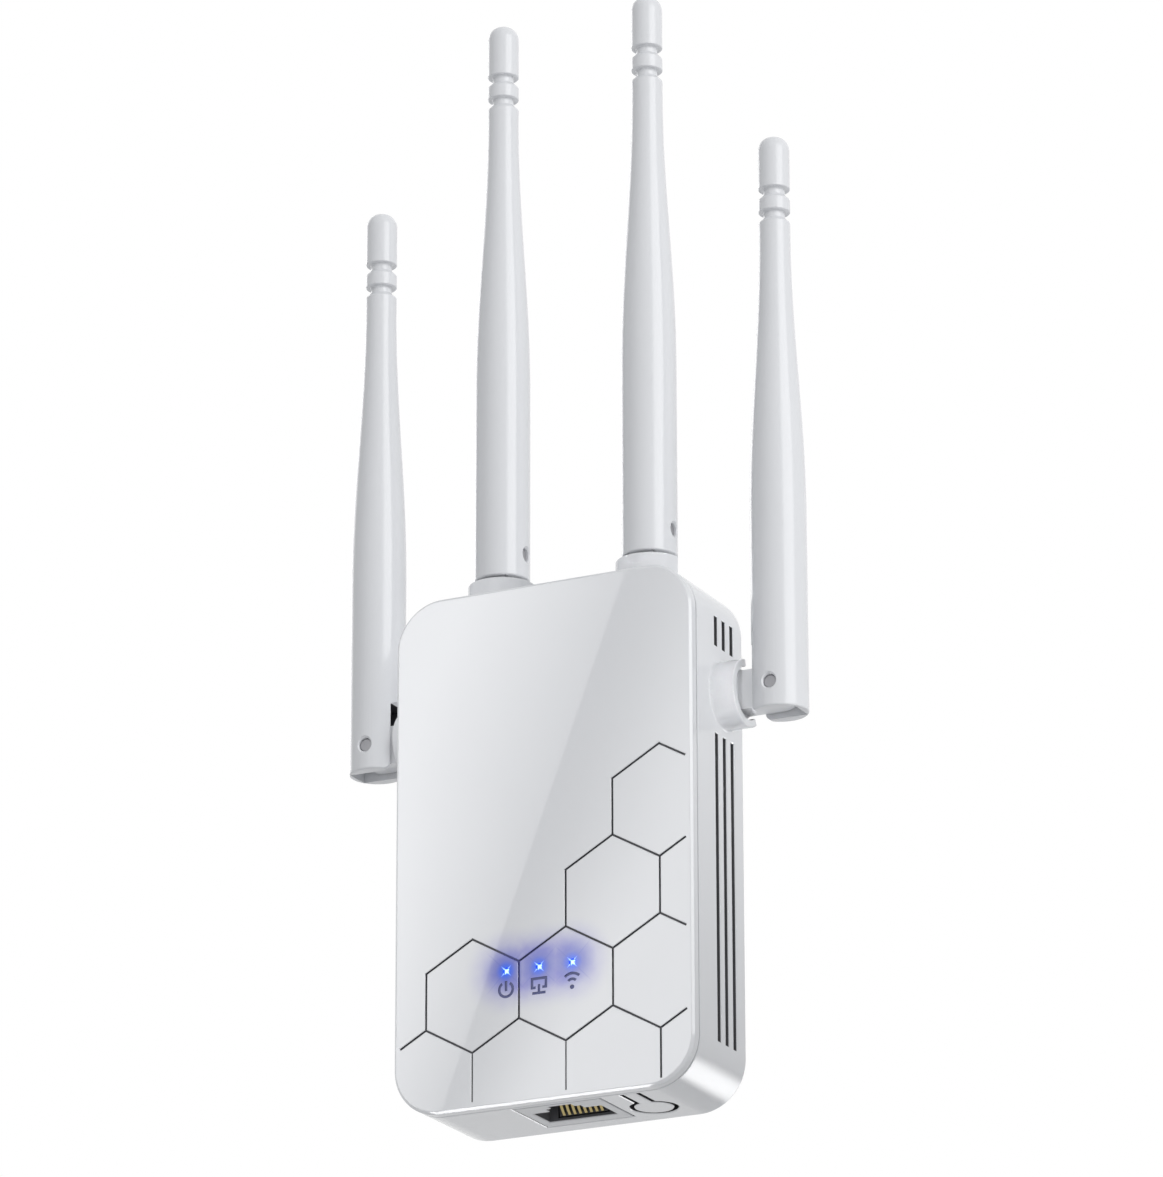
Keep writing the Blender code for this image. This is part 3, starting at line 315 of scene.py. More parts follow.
WHITE = (0.80, 0.81, 0.83)
ANTENNA_WHITE = (0.79, 0.80, 0.82)
case_finish = moulded("case_white", WHITE, 0.09, peel=0.015)
antenna_finish = moulded("antenna_white", ANTENNA_WHITE, 0.16, peel=0.03)
line_finish = moulded("line_paint", (0.022, 0.022, 0.03), 0.5, grain=0.2 * MM, drift=0.2)
# Painted shade: a near-black finish for the walls of slots, holes, slits and collar insides, standing in for
# the shade in them.
shade_finish = moulded("opening_shade", (0.03, 0.03, 0.034), 0.6, grain=0.3 * MM, drift=0.2)
# Painted shade: a dark grey finish for the vents' walls below their chamfer, standing in for the shade in the
# slots.
vent_finish = moulded("vent_shade", (0.14, 0.14, 0.145), 0.6, grain=0.3 * MM, drift=0.2)
print("finishes", case_finish.name, antenna_finish.name, line_finish.name)

# %% [markdown]
# ## Tools for shapes
# Almost every piece of this product is a loft: closed loops of points, skinned one to the next and
# capped at both ends. A turned piece is a loft of circles, and a punch for a slot is a loft that
# flares at the surface, so that the edge it leaves has a small chamfer that catches the light.
# Cutting and joining is done with exact booleans, which also carry over the tool's own finish.

# %% Shape tools


def loft(loops):
    shape = bmesh.new()
    rings = [[shape.verts.new(point) for point in loop] for loop in loops]
    for ring, following in zip(rings, rings[1:]):
        for i in range(len(ring)):
            j = (i + 1) % len(ring)
            shape.faces.new((ring[i], ring[j], following[j], following[i]))
    shape.faces.new(rings[0])
    shape.faces.new(rings[-1])
    bmesh.ops.recalc_face_normals(shape, faces=shape.faces)
    return shape


def moved(shape, matrix):
    bmesh.ops.transform(shape, matrix=matrix, verts=shape.verts)
    bmesh.ops.recalc_face_normals(shape, faces=shape.faces)
    return shape


def turned(profile, steps=64):
    """A body turned round Z from (radius, height) pairs."""
    angles = [2 * pi * i / steps for i in range(steps)]
    return loft([[(r * cos(a), r * sin(a), z) for a in angles] for r, z in profile])


def quarter(steps):
    """Sines and cosines over a quarter turn."""
    angles = [pi / 2 * step / steps for step in range(steps + 1)]
    return [(sin(angle), cos(angle)) for angle in angles]


def box(low, high):
    corners = ((low[0], low[1]), (high[0], low[1]), (high[0], high[1]), (low[0], high[1]))
    return loft([[(x, y, z) for x, y in corners] for z in (low[2], high[2])])


def piece(name, shape, *finishes):
    mesh = bpy.data.meshes.new(name)
    shape.to_mesh(mesh)
    shape.free()
    made = bpy.data.objects.new(name, mesh)
    scene.collection.objects.link(made)
    for finish in finishes:
        mesh.materials.append(finish)
    return made


def combine(target, shape, operation, *finishes):
    """Cuts a shape out of a piece or joins it on; faces that it leaves keep its finishes."""
    tool = piece("tool", shape, *(finishes or target.data.materials[:1]))
    step = target.modifiers.new("step", "BOOLEAN")
    step.operation = operation
    step.object = tool
    step.solver = "EXACT"
    step.material_mode = "TRANSFER"
    evaluated = target.evaluated_get(bpy.context.evaluated_depsgraph_get())
    mesh = bpy.data.meshes.new_from_object(evaluated)
    target.modifiers.clear()
    worn = target.data
    target.data = mesh
    mesh.name = target.name
    bpy.data.meshes.remove(worn)
    bpy.data.objects.remove(tool, do_unlink=True)


def cut(target, shape, *finishes):
    combine(target, shape, "DIFFERENCE", *finishes)


def add(target, shape, *finishes):
    combine(target, shape, "UNION", *finishes)


def dress(made, body, slot, *nodes, sharp=32):
    """Smooth shading with firm edges, and the piece's place in the frame."""
    made.data.shade_smooth()
    made.data.set_sharp_from_angle(angle=radians(sharp))
    weighted = made.modifiers.new("weighted", "WEIGHTED_NORMAL")
    weighted.keep_sharp = True
    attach(made, body)
    if nodes:
        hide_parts(*nodes)
    print(made.name, len(made.data.polygons), "faces")
    return made


# %% [markdown]
# ## A floor for the other views
# The extender hangs from a wall outlet and is seen from below here, so the floor lies lower than
# the camera and stays out of the picture. Seen from above it is plain and pale, and it fades into
# the white ground with distance.

# %% Floor
FLOOR_Z = -0.45
FLOOR_HALF = 4.0
paper, tree, shader = new_finish("floor_paper")
spot = node(tree, "ShaderNodeTexCoord", {}).outputs["Object"]
fibre = node(tree, "ShaderNodeTexNoise", {"Vector": spot, "Scale": 60.0, "Detail": 4.0}).outputs[0]
tree.links.new(blend(tree, fibre, (0.64, 0.64, 0.64), (0.68, 0.68, 0.68)), shader.inputs["Base Color"])
shader.inputs["Roughness"].default_value = 0.9
reach = node(tree, "ShaderNodeVectorMath", {0: spot}, operation="LENGTH").outputs["Value"]
fade = between(tree, reach, 0, 1, 0.3, 2.0, "SMOOTHSTEP")
path = node(tree, "ShaderNodeLightPath", {})
seen = calculate(tree, "MAXIMUM", path.outputs["Is Camera Ray"], path.outputs["Is Glossy Ray"])
seen = calculate(tree, "MULTIPLY", seen, fade)
glow = node(tree, "ShaderNodeEmission", {"Color": (1, 1, 1, 1), "Strength": 1.0})
surface = node(tree, "ShaderNodeMixShader", {0: seen, 1: shader.outputs[0], 2: glow.outputs[0]})
tree.links.new(surface.outputs[0], tree.nodes["Material Output"].inputs["Surface"])
sheet = bmesh.new()
bmesh.ops.create_grid(sheet, x_segments=8, y_segments=8, size=FLOOR_HALF)
floor = piece("floor", sheet, paper)
floor.location = (0, 0, FLOOR_Z)
floor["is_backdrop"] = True
print("floor at", FLOOR_Z)

# %% [markdown]
# ## The front cover
# The cover is a shallow tray with a flat glossy face and a narrow facet along its rim. The honeycomb
# lines are shallow grooves filled with dark paint, and the three signs under the lights are printed in
# the same way. The blue glow that the lights spread into the plastic and the paint round them is painted
# light: a soft painted halo, glow, stars and rays round each light, in the cover's colour and emission.

# %% Cover finish with the painted glow of the lights
LIGHT_Z = -26.6 * MM
LIGHT_X = [-6.75 * MM, -0.58 * MM, 5.59 * MM]


def painted_glow_patterns(tree):
    """Painted light summed over the lights: a wide halo, a nearer one, a tight glow, four-pointed stars and
    long rays.
    """
    spot = node(tree, "ShaderNodeTexCoord", {}).outputs["Object"]
    patterns = None
    for x in LIGHT_X:
        ends = {0: spot, 1: (x, FRONT_Y, LIGHT_Z)}
        offset = node(tree, "ShaderNodeVectorMath", ends, operation="SUBTRACT").outputs[0]
        reach = node(tree, "ShaderNodeVectorMath", {0: offset}, operation="LENGTH").outputs["Value"]
        part = node(tree, "ShaderNodeSeparateXYZ", {0: offset})
        rise = calculate(tree, "ABSOLUTE", calculate(tree, "ADD", part.outputs["X"], part.outputs["Z"]))
        fall = calculate(tree, "ABSOLUTE", calculate(tree, "SUBTRACT", part.outputs["X"], part.outputs["Z"]))
        cross = between(tree, calculate(tree, "MULTIPLY", rise, fall), 1, 0, 0, 0.22 * MM * MM)
        streak = between(tree, calculate(tree, "MINIMUM", rise, fall), 1, 0, 0, 0.22 * MM)
        sums = (
            between(tree, reach, 1, 0, 0.3 * MM, 8.4 * MM, "SMOOTHSTEP"),
            between(tree, reach, 1, 0, 0.6 * MM, 5.2 * MM, "SMOOTHSTEP"),
            between(tree, reach, 1, 0, 0.4 * MM, 2.1 * MM, "SMOOTHSTEP"),
            calculate(tree, "MULTIPLY", cross, between(tree, reach, 1, 0, 0.5 * MM, 1.5 * MM)),
            calculate(tree, "MULTIPLY", streak, between(tree, reach, 1, 0, 0.8 * MM, 5.5 * MM)),
        )
        if patterns:
            halo = calculate(tree, "ADD", patterns[0], sums[0], clamp=True)
            rest = [calculate(tree, "MAXIMUM", *pair) for pair in zip(patterns[1:], sums[1:])]
            patterns = [halo, *rest]
        else:
            patterns = sums
    return patterns


def opened(finish):
    """A finish's tree and shader, and what gives the shader its colour."""
    tree = finish.node_tree
    shader = tree.nodes["Principled BSDF"]
    return tree, shader, shader.inputs["Base Color"].links[0].from_socket


PAINTED_STAR_COLOURS = ((0.02, 0.12, 0.85), (0.62, 0.90, 1.0))
# Painted light: a blue halo, glow and rays in the cover's colour, and stars in its emission, stand in for the
# diodes' light in the plastic.
cover_finish = moulded("cover_white", WHITE, 0.012, peel=0.003)
tree, shader, plain = opened(cover_finish)
halo, near, glow, painted_star, painted_rays = painted_glow_patterns(tree)
painted_halo_wisp = between(tree, speckle(tree, 3 * MM, 3.0), 0.6, 1.0, 0.25, 0.75)
painted_glow_colour = blend(tree, calculate(tree, "MULTIPLY", halo, painted_halo_wisp), plain, (0.33, 0.32, 0.74))
painted_glow_colour = blend(tree, calculate(tree, "MULTIPLY", near, 0.75), painted_glow_colour, (0.10, 0.15, 0.66))
painted_glow_colour = blend(tree, calculate(tree, "MULTIPLY", painted_rays, 0.55), painted_glow_colour, (0.16, 0.19, 0.62))
painted_glow_colour = blend(tree, glow, painted_glow_colour, (0.03, 0.13, 0.80))
tree.links.new(painted_glow_colour, shader.inputs["Base Color"])
tree.links.new(blend(tree, painted_star, *PAINTED_STAR_COLOURS), shader.inputs["Emission Color"])
painted_sparkle = calculate(tree, "MULTIPLY", painted_star, 1.3)
power = calculate(tree, "ADD", calculate(tree, "MULTIPLY", glow, 0.22), painted_sparkle)
tree.links.new(power, shader.inputs["Emission Strength"])
print("cover nodes", len(tree.nodes))

# Painted light: the lines near the lights take a painted blue from the same glow.
tree, shader, plain = opened(line_finish)
painted_glow_line = blend(tree, painted_glow_patterns(tree)[1], plain, (0.02, 0.035, 0.3))
tree.links.new(painted_glow_line, shader.inputs["Base Color"])

# %% [markdown]
# The tray itself is a loft of rounded rectangles: from the flat face down a narrow facet with softened
# ends, back to the parting line, and in again along the inside. The facet stands at 45 degrees, so it
# catches light that the face does not. The corners of the outline have twenty steps each, so the long
# highlight along the rim runs without kinks.

# %% Cover tray
SIDE_X = 28 * MM
TOP_Z = 41.35 * MM
BOTTOM_Z = -49.75 * MM
CORNER = 8.5 * MM
WALL = 1.6 * MM
GAP = 0.3 * MM
FRONT_RIM = ((0.55, 0), (0.47, 0.02), (0.4, 0.07), (0.07, 0.4), (0.02, 0.47), (0, 0.55))
COVER_FACE = 1.5 * MM
COVER_BACK = -18.5 * MM
SOFT = 0.12 * MM
TAB_THICK = 1.2 * MM
TAB_HALF = 5 * MM
TAB_HEIGHTS = (-34.2 * MM, 3.8 * MM)


def case_loop(inset, y, steps=20):
    """The case outline, drawn in by inset, at depth y."""
    radius = CORNER - inset
    points = []
    for quarter, (side, end) in enumerate(((1, TOP_Z), (-1, TOP_Z), (-1, BOTTOM_Z), (1, BOTTOM_Z))):
        centre_x = side * (SIDE_X - CORNER)
        centre_z = end - CORNER if end > 0 else end + CORNER
        for step in range(steps + 1):
            angle = pi / 2 * (quarter + step / steps)
            points.append((centre_x + radius * cos(angle), y, centre_z + radius * sin(angle)))
    return points


loops = [case_loop(inset * MM, FRONT_Y + deep * MM) for inset, deep in FRONT_RIM]
loops += [case_loop(0, COVER_BACK - SOFT), case_loop(SOFT, COVER_BACK), case_loop(WALL, COVER_BACK)]
loops.append(case_loop(WALL, FRONT_Y + COVER_FACE))
cover = piece("cover_shell", loft(loops), cover_finish)
tab_root = FRONT_Y + COVER_FACE - SOFT
tab_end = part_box("front_cover")[1].y
for side in (-1, 1):
    edges = sorted((side * (SIDE_X - WALL - GAP), side * (SIDE_X - WALL - GAP - TAB_THICK)))
    for z in TAB_HEIGHTS:
        add(cover, box((edges[0], tab_root, z - TAB_HALF), (edges[1], tab_end, z + TAB_HALF)))
tab_top = TOP_Z - WALL - GAP
add(cover, box((-TAB_HALF, tab_root, tab_top - TAB_THICK), (TAB_HALF, tab_end, tab_top)))
print("tray", len(cover.data.polygons), "faces")

# %% [markdown]
# Now the engraving. Each honeycomb cell is a regular hexagon standing on a corner, and neighbours
# share their sides, so the pattern is drawn from five cells and a few lines that run out to the rim.
# The cutter for a line flares at the top: the flare leaves a white chamfer, and the
# part below it leaves dark walls, which is how a wiped-in paint line looks.

# %% Honeycomb lines
HEX_HALF = 8.75 * MM
HEX_SIDE = 9.85 * MM
HEX_ROW = -30.1 * MM
LINE_HALF = 0.165 * MM
FINE_SHARE = 0.65
LINE_DEEP = 0.3 * MM
FLARE = 0.1 * MM
MARGIN = 1.4 * MM


def cell(column, row):
    """Corners of a cell from its top, clockwise."""
    x = column * HEX_HALF
    z = HEX_ROW + row * 1.5 * HEX_SIDE
    half = HEX_SIDE / 2
    across = (0, 1, 1, 0, -1, -1)
    rise = (2, 1, -1, -2, -1, 1)
    return [(x + a * HEX_HALF, z + r * half) for a, r in zip(across, rise)]


def to_rim(point, side, rise):
    x = side * (SIDE_X - MARGIN)
    return point, (x, point[1] + rise * HEX_SIDE / 2 / HEX_HALF * abs(x - point[0]))


left, centre, upper, top, corner = [cell(*at) for at in ((-1.5, 0), (0.5, 0), (1.5, 1), (2.5, 2), (2.5, 0))]
lines = [pair for six in (left, centre, upper) for pair in zip(six, six[1:] + six[:1])]
lines += [(top[4], top[5]), (top[5], top[0]), (corner[4], corner[3])]
lines += [to_rim(top[0], 1, -1), to_rim(upper[1], 1, 1), to_rim(upper[2], 1, -1)]
lines += [to_rim(corner[3], 1, 1), to_rim(left[4], -1, -1)]
lines += [(six[3], (six[3][0], BOTTOM_Z + MARGIN)) for six in (left, centre, corner)]
drawn = {}
for pair in lines:
    key = tuple(sorted((round(x * 1e5), round(z * 1e5)) for x, z in pair))
    drawn[key] = pair


def stroke(start, end, half, deep, flare):
    """A cutter along a straight line on the cover's face."""
    start = Vector((start[0], FRONT_Y, start[1]))
    along = Vector((end[0], FRONT_Y, end[1])) - start
    wide = half + flare
    sides = [(-wide, -deep), (wide, -deep), (wide, 0), (half, flare), (half, deep)]
    sides += [(-half, deep), (-half, flare), (-wide, 0)]
    bar = loft([[(u, d, z) for u, d in sides] for z in (-half, along.length + half)])
    for face in bar.faces:
        face.material_index = int(face.calc_center_median().y > flare * 0.9)
    square = along.cross(Vector((0, -1, 0))).normalized()
    return moved(bar, axes(start, square, (0, 1, 0), along.normalized()))


for start, end in drawn.values():
    fine = start in (left[3], centre[3]) and end[0] == start[0]
    half = LINE_HALF * FINE_SHARE if fine else LINE_HALF
    cut(cover, stroke(start, end, half, LINE_DEEP, FLARE), cover_finish, line_finish)
print("lines", len(drawn))

# %% [markdown]
# The signs under the lights are the usual ones for power, network and radio. They are strokes and
# parts of rings, sunk a tenth of a millimetre and filled like a print.

# %% Signs and light holes
sign_finish = moulded("sign_print", (0.055, 0.065, 0.2), 0.45, grain=0.2 * MM, drift=0.15)
SIGN_HALF = 0.235 * MM
SIGN_DEEP = 0.1 * MM
LIGHT_HOLE = 0.6 * MM
TO_FRONT = Matrix.Rotation(pi / 2, 4, "X")


def sign_arc(x, z, radius, start, end, steps=20):
    """A cutter for part of a ring on the cover's face; angles in degrees from +X."""
    loops = []
    for step in range(steps + 1):
        angle = radians(start + (end - start) * step / steps)
        ring = [(radius - SIGN_HALF, -SIGN_DEEP), (radius + SIGN_HALF, -SIGN_DEEP)]
        ring += [(radius + SIGN_HALF, SIGN_DEEP), (radius - SIGN_HALF, SIGN_DEEP)]
        loops.append([(x + r * cos(angle), FRONT_Y + d, z + r * sin(angle)) for r, d in ring])
    return loft(loops)


def sign_bar(x, z, start, end):
    points = [(x + u * MM, z + v * MM) for u, v in (start, end)]
    return stroke(*points, SIGN_HALF, SIGN_DEEP, 0)


def face_hole(x, z, radius, deep):
    matrix = Matrix.Translation((x, FRONT_Y + deep, z)) @ TO_FRONT
    return moved(turned([(radius, 0), (radius, 2 * deep)], 32), matrix)


power_x, network_x, radio_x = LIGHT_X
signs = [
    sign_arc(power_x, LIGHT_Z - 3.2 * MM, 1.27 * MM, 125, 415),
    sign_bar(power_x, LIGHT_Z, (0, -1.95), (0, -3.25)),
    sign_bar(network_x, LIGHT_Z, (-1.3, -2.05), (1.3, -2.05)),
    sign_bar(network_x, LIGHT_Z, (-1.3, -2.05), (-1.3, -3.6)),
    sign_bar(network_x, LIGHT_Z, (1.3, -2.05), (1.3, -3.6)),
    sign_bar(network_x, LIGHT_Z, (-1.3, -3.6), (-0.85, -3.6)),
    sign_bar(network_x, LIGHT_Z, (0.85, -3.6), (1.3, -3.6)),
    sign_bar(network_x, LIGHT_Z, (0, -3.3), (0, -4.4)),
    sign_bar(network_x, LIGHT_Z, (-1.0, -4.55), (1.0, -4.55)),
    sign_arc(radio_x, LIGHT_Z - 3.95 * MM, 2.0 * MM, 48, 132),
    sign_arc(radio_x, LIGHT_Z - 3.95 * MM, 1.0 * MM, 45, 135),
    face_hole(radio_x, LIGHT_Z - 4.3 * MM, 0.4 * MM, SIGN_DEEP),
]
for sign in signs:
    cut(cover, sign, sign_finish, sign_finish)
for x in LIGHT_X:
    cut(cover, face_hole(x, LIGHT_Z, LIGHT_HOLE, 2 * MM))
dress(cover, "case", "case_white", "front_cover")

# %% [markdown]
# ## The rear housing
# The deep tray behind the cover holds everything: vents in both sides, the slots for the plug blades,
# the cut-outs for the socket and the reset button, and four collars that hide the antenna hinges.
# Punches with a flared head make the openings, so that every opening has a chamfer.

# %% Housing tray
RIM_Y = -18.2 * MM
BACK_EDGE = 0.7 * MM
loops = [case_loop(WALL, -WALL), case_loop(WALL, RIM_Y), case_loop(SOFT, RIM_Y), case_loop(0, RIM_Y + SOFT)]
loops += [case_loop(BACK_EDGE * (1 - s), BACK_EDGE * c - BACK_EDGE) for s, c in reversed(quarter(6))]
housing = piece("housing_shell", loft(loops), case_finish)
print("tray", len(housing.data.polygons), "faces")

# %% [markdown]
# A collar is part of a ring that stands on the wall, closed towards the front and open at the back,
# where the antenna folds. Its own axes are: Z out of the wall, X towards its short end and Y to the
# back. The free edge is rounded, and a small fillet joins it to the wall. The list of hinges holds for
# each one its place, the way out of the wall, the way that its antenna folds, the way to the short end,
# the collar's height and the antenna's turn at rest.

# %% Hinge collars
HINGE_Y = -7.7 * MM
TOP_X = 14.2 * MM
SIDE_Z = 20.3 * MM
COLLAR_INNER = 4.6 * MM
COLLAR_OUTER = 5.9 * MM
COLLAR_SOFT = 0.25 * MM
COLLAR_FOOT = 0.35 * MM
COLLAR_STEPS = 60
TOP_COLLAR = 5.2 * MM
SIDE_COLLAR = 4.5 * MM
UP = Vector((0, 0, 1))
BACK = Vector((0, 1, 0))
hinges = {}
for name, side in (("left", -1), ("right", 1)):
    out = Vector((side, 0, 0))
    hinges["top_" + name] = (Vector((side * TOP_X, HINGE_Y, TOP_Z)), UP, BACK, out, TOP_COLLAR, 0.0)
    hinges["side_" + name] = (Vector((side * SIDE_X, HINGE_Y, SIDE_Z)), out, UP, UP, SIDE_COLLAR, pi / 2)


def collar(height):
    """The ring part, with a rounded free edge and a fillet at its foot."""
    wide = COLLAR_OUTER + COLLAR_FOOT
    section = [(COLLAR_INNER, -GAP), (wide, -GAP), (wide, 0)]
    for s, c in quarter(4)[1:]:
        section.append((COLLAR_OUTER + COLLAR_FOOT * (1 - s), COLLAR_FOOT * (1 - c)))
    section += [(COLLAR_OUTER, COLLAR_FOOT + SOFT), (COLLAR_OUTER, height - COLLAR_SOFT - SOFT)]
    for s, c in quarter(4):
        section.append((COLLAR_OUTER - COLLAR_SOFT * (1 - c), height - COLLAR_SOFT * (1 - s)))
    section += [(COLLAR_INNER + SOFT, height), (COLLAR_INNER, height - SOFT)]
    loops = []
    for step in range(COLLAR_STEPS + 1):
        angle = radians(-10 - 205 * step / COLLAR_STEPS)
        loops.append([(r * cos(angle), r * sin(angle), z) for r, z in section])
    shape = loft(loops)
    # The inside faces get the second finish, which is painted shade.
    for face in shape.faces:
        middle = face.calc_center_median()
        face.material_index = int(hypot(middle.x, middle.y) < COLLAR_INNER + SOFT / 4)
    return shape


NECK_HOLE = 3.0 * MM
for place, out, fold, short, height, rest in hinges.values():
    matrix = axes(place, short, BACK, out)
    add(housing, moved(collar(height), matrix), case_finish, shade_finish)
    cut(housing, moved(turned([(NECK_HOLE, -2 * WALL), (NECK_HOLE, WALL)]), matrix))
print("collars", len(hinges), "faces", len(housing.data.polygons))

# %% [markdown]
# The openings. A punch is a loft of one outline at growing sizes: plain below the surface, flared
# at it. The vents are narrow upright slots in two groups, one above and one below the side hinge.
# The reset button's cut-out is a keyhole: a ring round the pad and two slits along its springy arm.

# %% Vents, socket, button and plug openings
CHAMFER = 0.14 * MM


def rectangle(low, high):
    """A function that gives the rectangle grown by any margin, as (a, b) points."""

    def grown(by):
        a_low, b_low = low[0] - by, low[1] - by
        a_high, b_high = high[0] + by, high[1] + by
        return [(a_low, b_low), (a_high, b_low), (a_high, b_high), (a_low, b_high)]

    return grown


def punch(outline, axis, surface, outward, deep, chamfer=CHAMFER):
    """A cutter that goes in along one axis through the wall at surface, flared on the outside."""
    loops = []
    for offset, grow in ((-deep, 0), (-chamfer, 0), (0, chamfer), (WALL, chamfer)):
        loop = []
        for point in outline(grow):
            point = list(point)
            point.insert(axis, surface + outward * offset)
            loop.append(point)
        loops.append(loop)
    shape = loft(loops)
    for face in shape.faces:
        face.material_index = int(outward * (face.calc_center_median()[axis] - surface) < -chamfer)
    return shape


VENT_HALF = 0.65 * MM
VENT_ROWS = (-4.55 * MM, -7.6 * MM, -10.65 * MM)
VENT_GROUPS = ((28.6 * MM, 33.8 * MM), (-40.7 * MM, 13.0 * MM))
BLADE_X = 6.35 * MM
BLADE_ROOM = (1.05 * MM, 3.475 * MM)
# Below the chamfer the walls of every opening get painted shade: dark grey in the vents, near black in the
# others.
for side in (-1, 1):
    for y in VENT_ROWS:
        for z_low, z_high in VENT_GROUPS:
            vent = rectangle((y - VENT_HALF, z_low), (y + VENT_HALF, z_high))
            cut(housing, punch(vent, 0, side * SIDE_X, side, 2 * WALL), case_finish, vent_finish)
for x in (-BLADE_X, BLADE_X):
    blade_slot = rectangle((x - BLADE_ROOM[0], -BLADE_ROOM[1]), (x + BLADE_ROOM[0], BLADE_ROOM[1]))
    cut(housing, punch(blade_slot, 1, 0.0, 1, 2 * WALL), case_finish, shade_finish)
jack_low, jack_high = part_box("ethernet_jack")
jack_hole = rectangle((jack_low.x - GAP, jack_low.y - GAP), (jack_high.x + GAP, jack_high.y + GAP))
cut(housing, punch(jack_hole, 2, BOTTOM_Z, -1, 2 * WALL), case_finish, shade_finish)

PAD_X = 14.6 * MM
PAD_Y = -8.0 * MM
PAD_RADIUS = 3.5 * MM
ARM_HALF = 1.25 * MM
ARM_ROOT = -17.2 * MM
SLIT = 0.6 * MM
PAD_STEPS = 56


def keyhole(margin, root):
    """A function that gives the pad-and-arm outline grown by margin and more, with the arm's end at root."""

    def grown(by):
        radius = PAD_RADIUS + margin + by
        half = ARM_HALF + margin + by
        meet = asin(half / radius)
        start = meet - pi / 2
        sweep = 2 * pi - 2 * meet
        turns = [start + sweep * step / PAD_STEPS for step in range(PAD_STEPS + 1)]
        ring = [(PAD_X + radius * cos(a), PAD_Y + radius * sin(a)) for a in turns]
        return [(PAD_X + half, root - by)] + ring + [(PAD_X - half, root - by)]

    return grown


cut(housing, punch(keyhole(SLIT, ARM_ROOT - GAP), 2, BOTTOM_Z, -1, 2 * WALL), case_finish, shade_finish)
print("openings cut", len(housing.data.polygons), "faces")

# %% [markdown]
# Inside, four short posts carry the board. They are out of sight, but the screws need something
# to go into, so they stand where the frame's screws are.

# %% Board posts
POST_X = 20.4 * MM
POST_LEVELS = ((-20.75 * MM, 1.1 * MM), (27.35 * MM, 0))
BOARD_POST = [(2.4 * MM, 0), (2.4 * MM, 1.0 * MM), (2.25 * MM, 1.0 * MM + SOFT)]
for x in (-POST_X, POST_X):
    for z, hole in POST_LEVELS:
        matrix = Matrix.Translation((x, -WALL + SOFT, z)) @ TO_FRONT
        add(housing, moved(turned(BOARD_POST, 32), matrix))
        if hole:
            cut(housing, moved(turned([(hole, SOFT), (hole, 3 * MM)], 24), matrix))
dress(housing, "case", "case_white", "rear_housing")

# %% [markdown]
# ## The network socket
# The socket is a moulded block behind a cut-out in the bottom: a pale face, and a dark stepped mouth
# whose narrow steps take the latch of a plug. The contacts are gold-plated springs that start close
# behind the mouth and lean into it, eight side by side on a dark carrier.

# %% Socket body
jack_finish = moulded("jack_pale", (0.66, 0.67, 0.69), 0.3, grain=0.3 * MM)
jack_dark = moulded("jack_dark", (0.14, 0.14, 0.15), 0.42, grain=0.3 * MM, drift=0.2)
JACK_X = (jack_low.x + jack_high.x) / 2
MOUTH_BACK = -6.9 * MM
MOUTH_DEEP = 14 * MM
MOUTH_STEPS = ((12.6 * MM, -13.2 * MM), (6.4 * MM, -14.8 * MM), (4.3 * MM, -16.2 * MM))
block = rectangle(jack_low[:2], jack_high[:2])
levels = ((0, -SOFT), (SOFT, 0), (jack_high.z - jack_low.z, 0))
jack = piece("jack_block", loft([[(*p, jack_low.z + z) for p in block(by)] for z, by in levels]), jack_finish)


def mouth(by):
    """The stepped mouth grown by a margin."""
    right = []
    for wide, y in MOUTH_STEPS:
        if right:
            right.append((wide / 2 + by, right[-1][1]))
        right.append((wide / 2 + by, y - by))
    right.insert(0, (MOUTH_STEPS[0][0] / 2 + by, MOUTH_BACK + by))
    left = [(-x, y) for x, y in reversed(right)]
    return [(JACK_X + x, y) for x, y in right + left]


cut(jack, punch(mouth, 2, BOTTOM_Z, -1, MOUTH_DEEP), jack_finish, jack_dark)
CARRIER_HALF = 4.5 * MM
carrier_low = (JACK_X - CARRIER_HALF, MOUTH_BACK, BOTTOM_Z + 0.9 * MM)
carrier_high = (JACK_X + CARRIER_HALF, MOUTH_BACK + 1.3 * MM, BOTTOM_Z + 12.6 * MM)
room_low = [value - GAP for value in carrier_low]
room_high = [value + GAP for value in carrier_high]
cut(jack, box(room_low, room_high), jack_dark)
dress(jack, "case", "jack_grey", "ethernet_jack")

# %% [markdown]
# Each spring is a flat strip that follows a curve: out of the carrier, forward at a slope, and then
# up along the mouth. A strip is a loft of small rectangles, each square to the curve.

# %% Socket contacts


def metal(name, colour, roughness, stretch, drift=0.06, scratch=0.25):
    """A metal with drawn or brushed lines along one axis."""
    finish, tree, shader = new_finish(name)
    lines = speckle(tree, 0.15 * MM, 3.0, stretch)
    tone = blend(tree, lines, varied(colour, -drift), varied(colour, drift))
    tree.links.new(tone, shader.inputs["Base Color"])
    tree.links.new(between(tree, lines, roughness * 0.7, roughness * 1.4), shader.inputs["Roughness"])
    shader.inputs["Metallic"].default_value = 1.0
    bumped(tree, shader, lines, scratch, 0.004 * MM)
    return finish


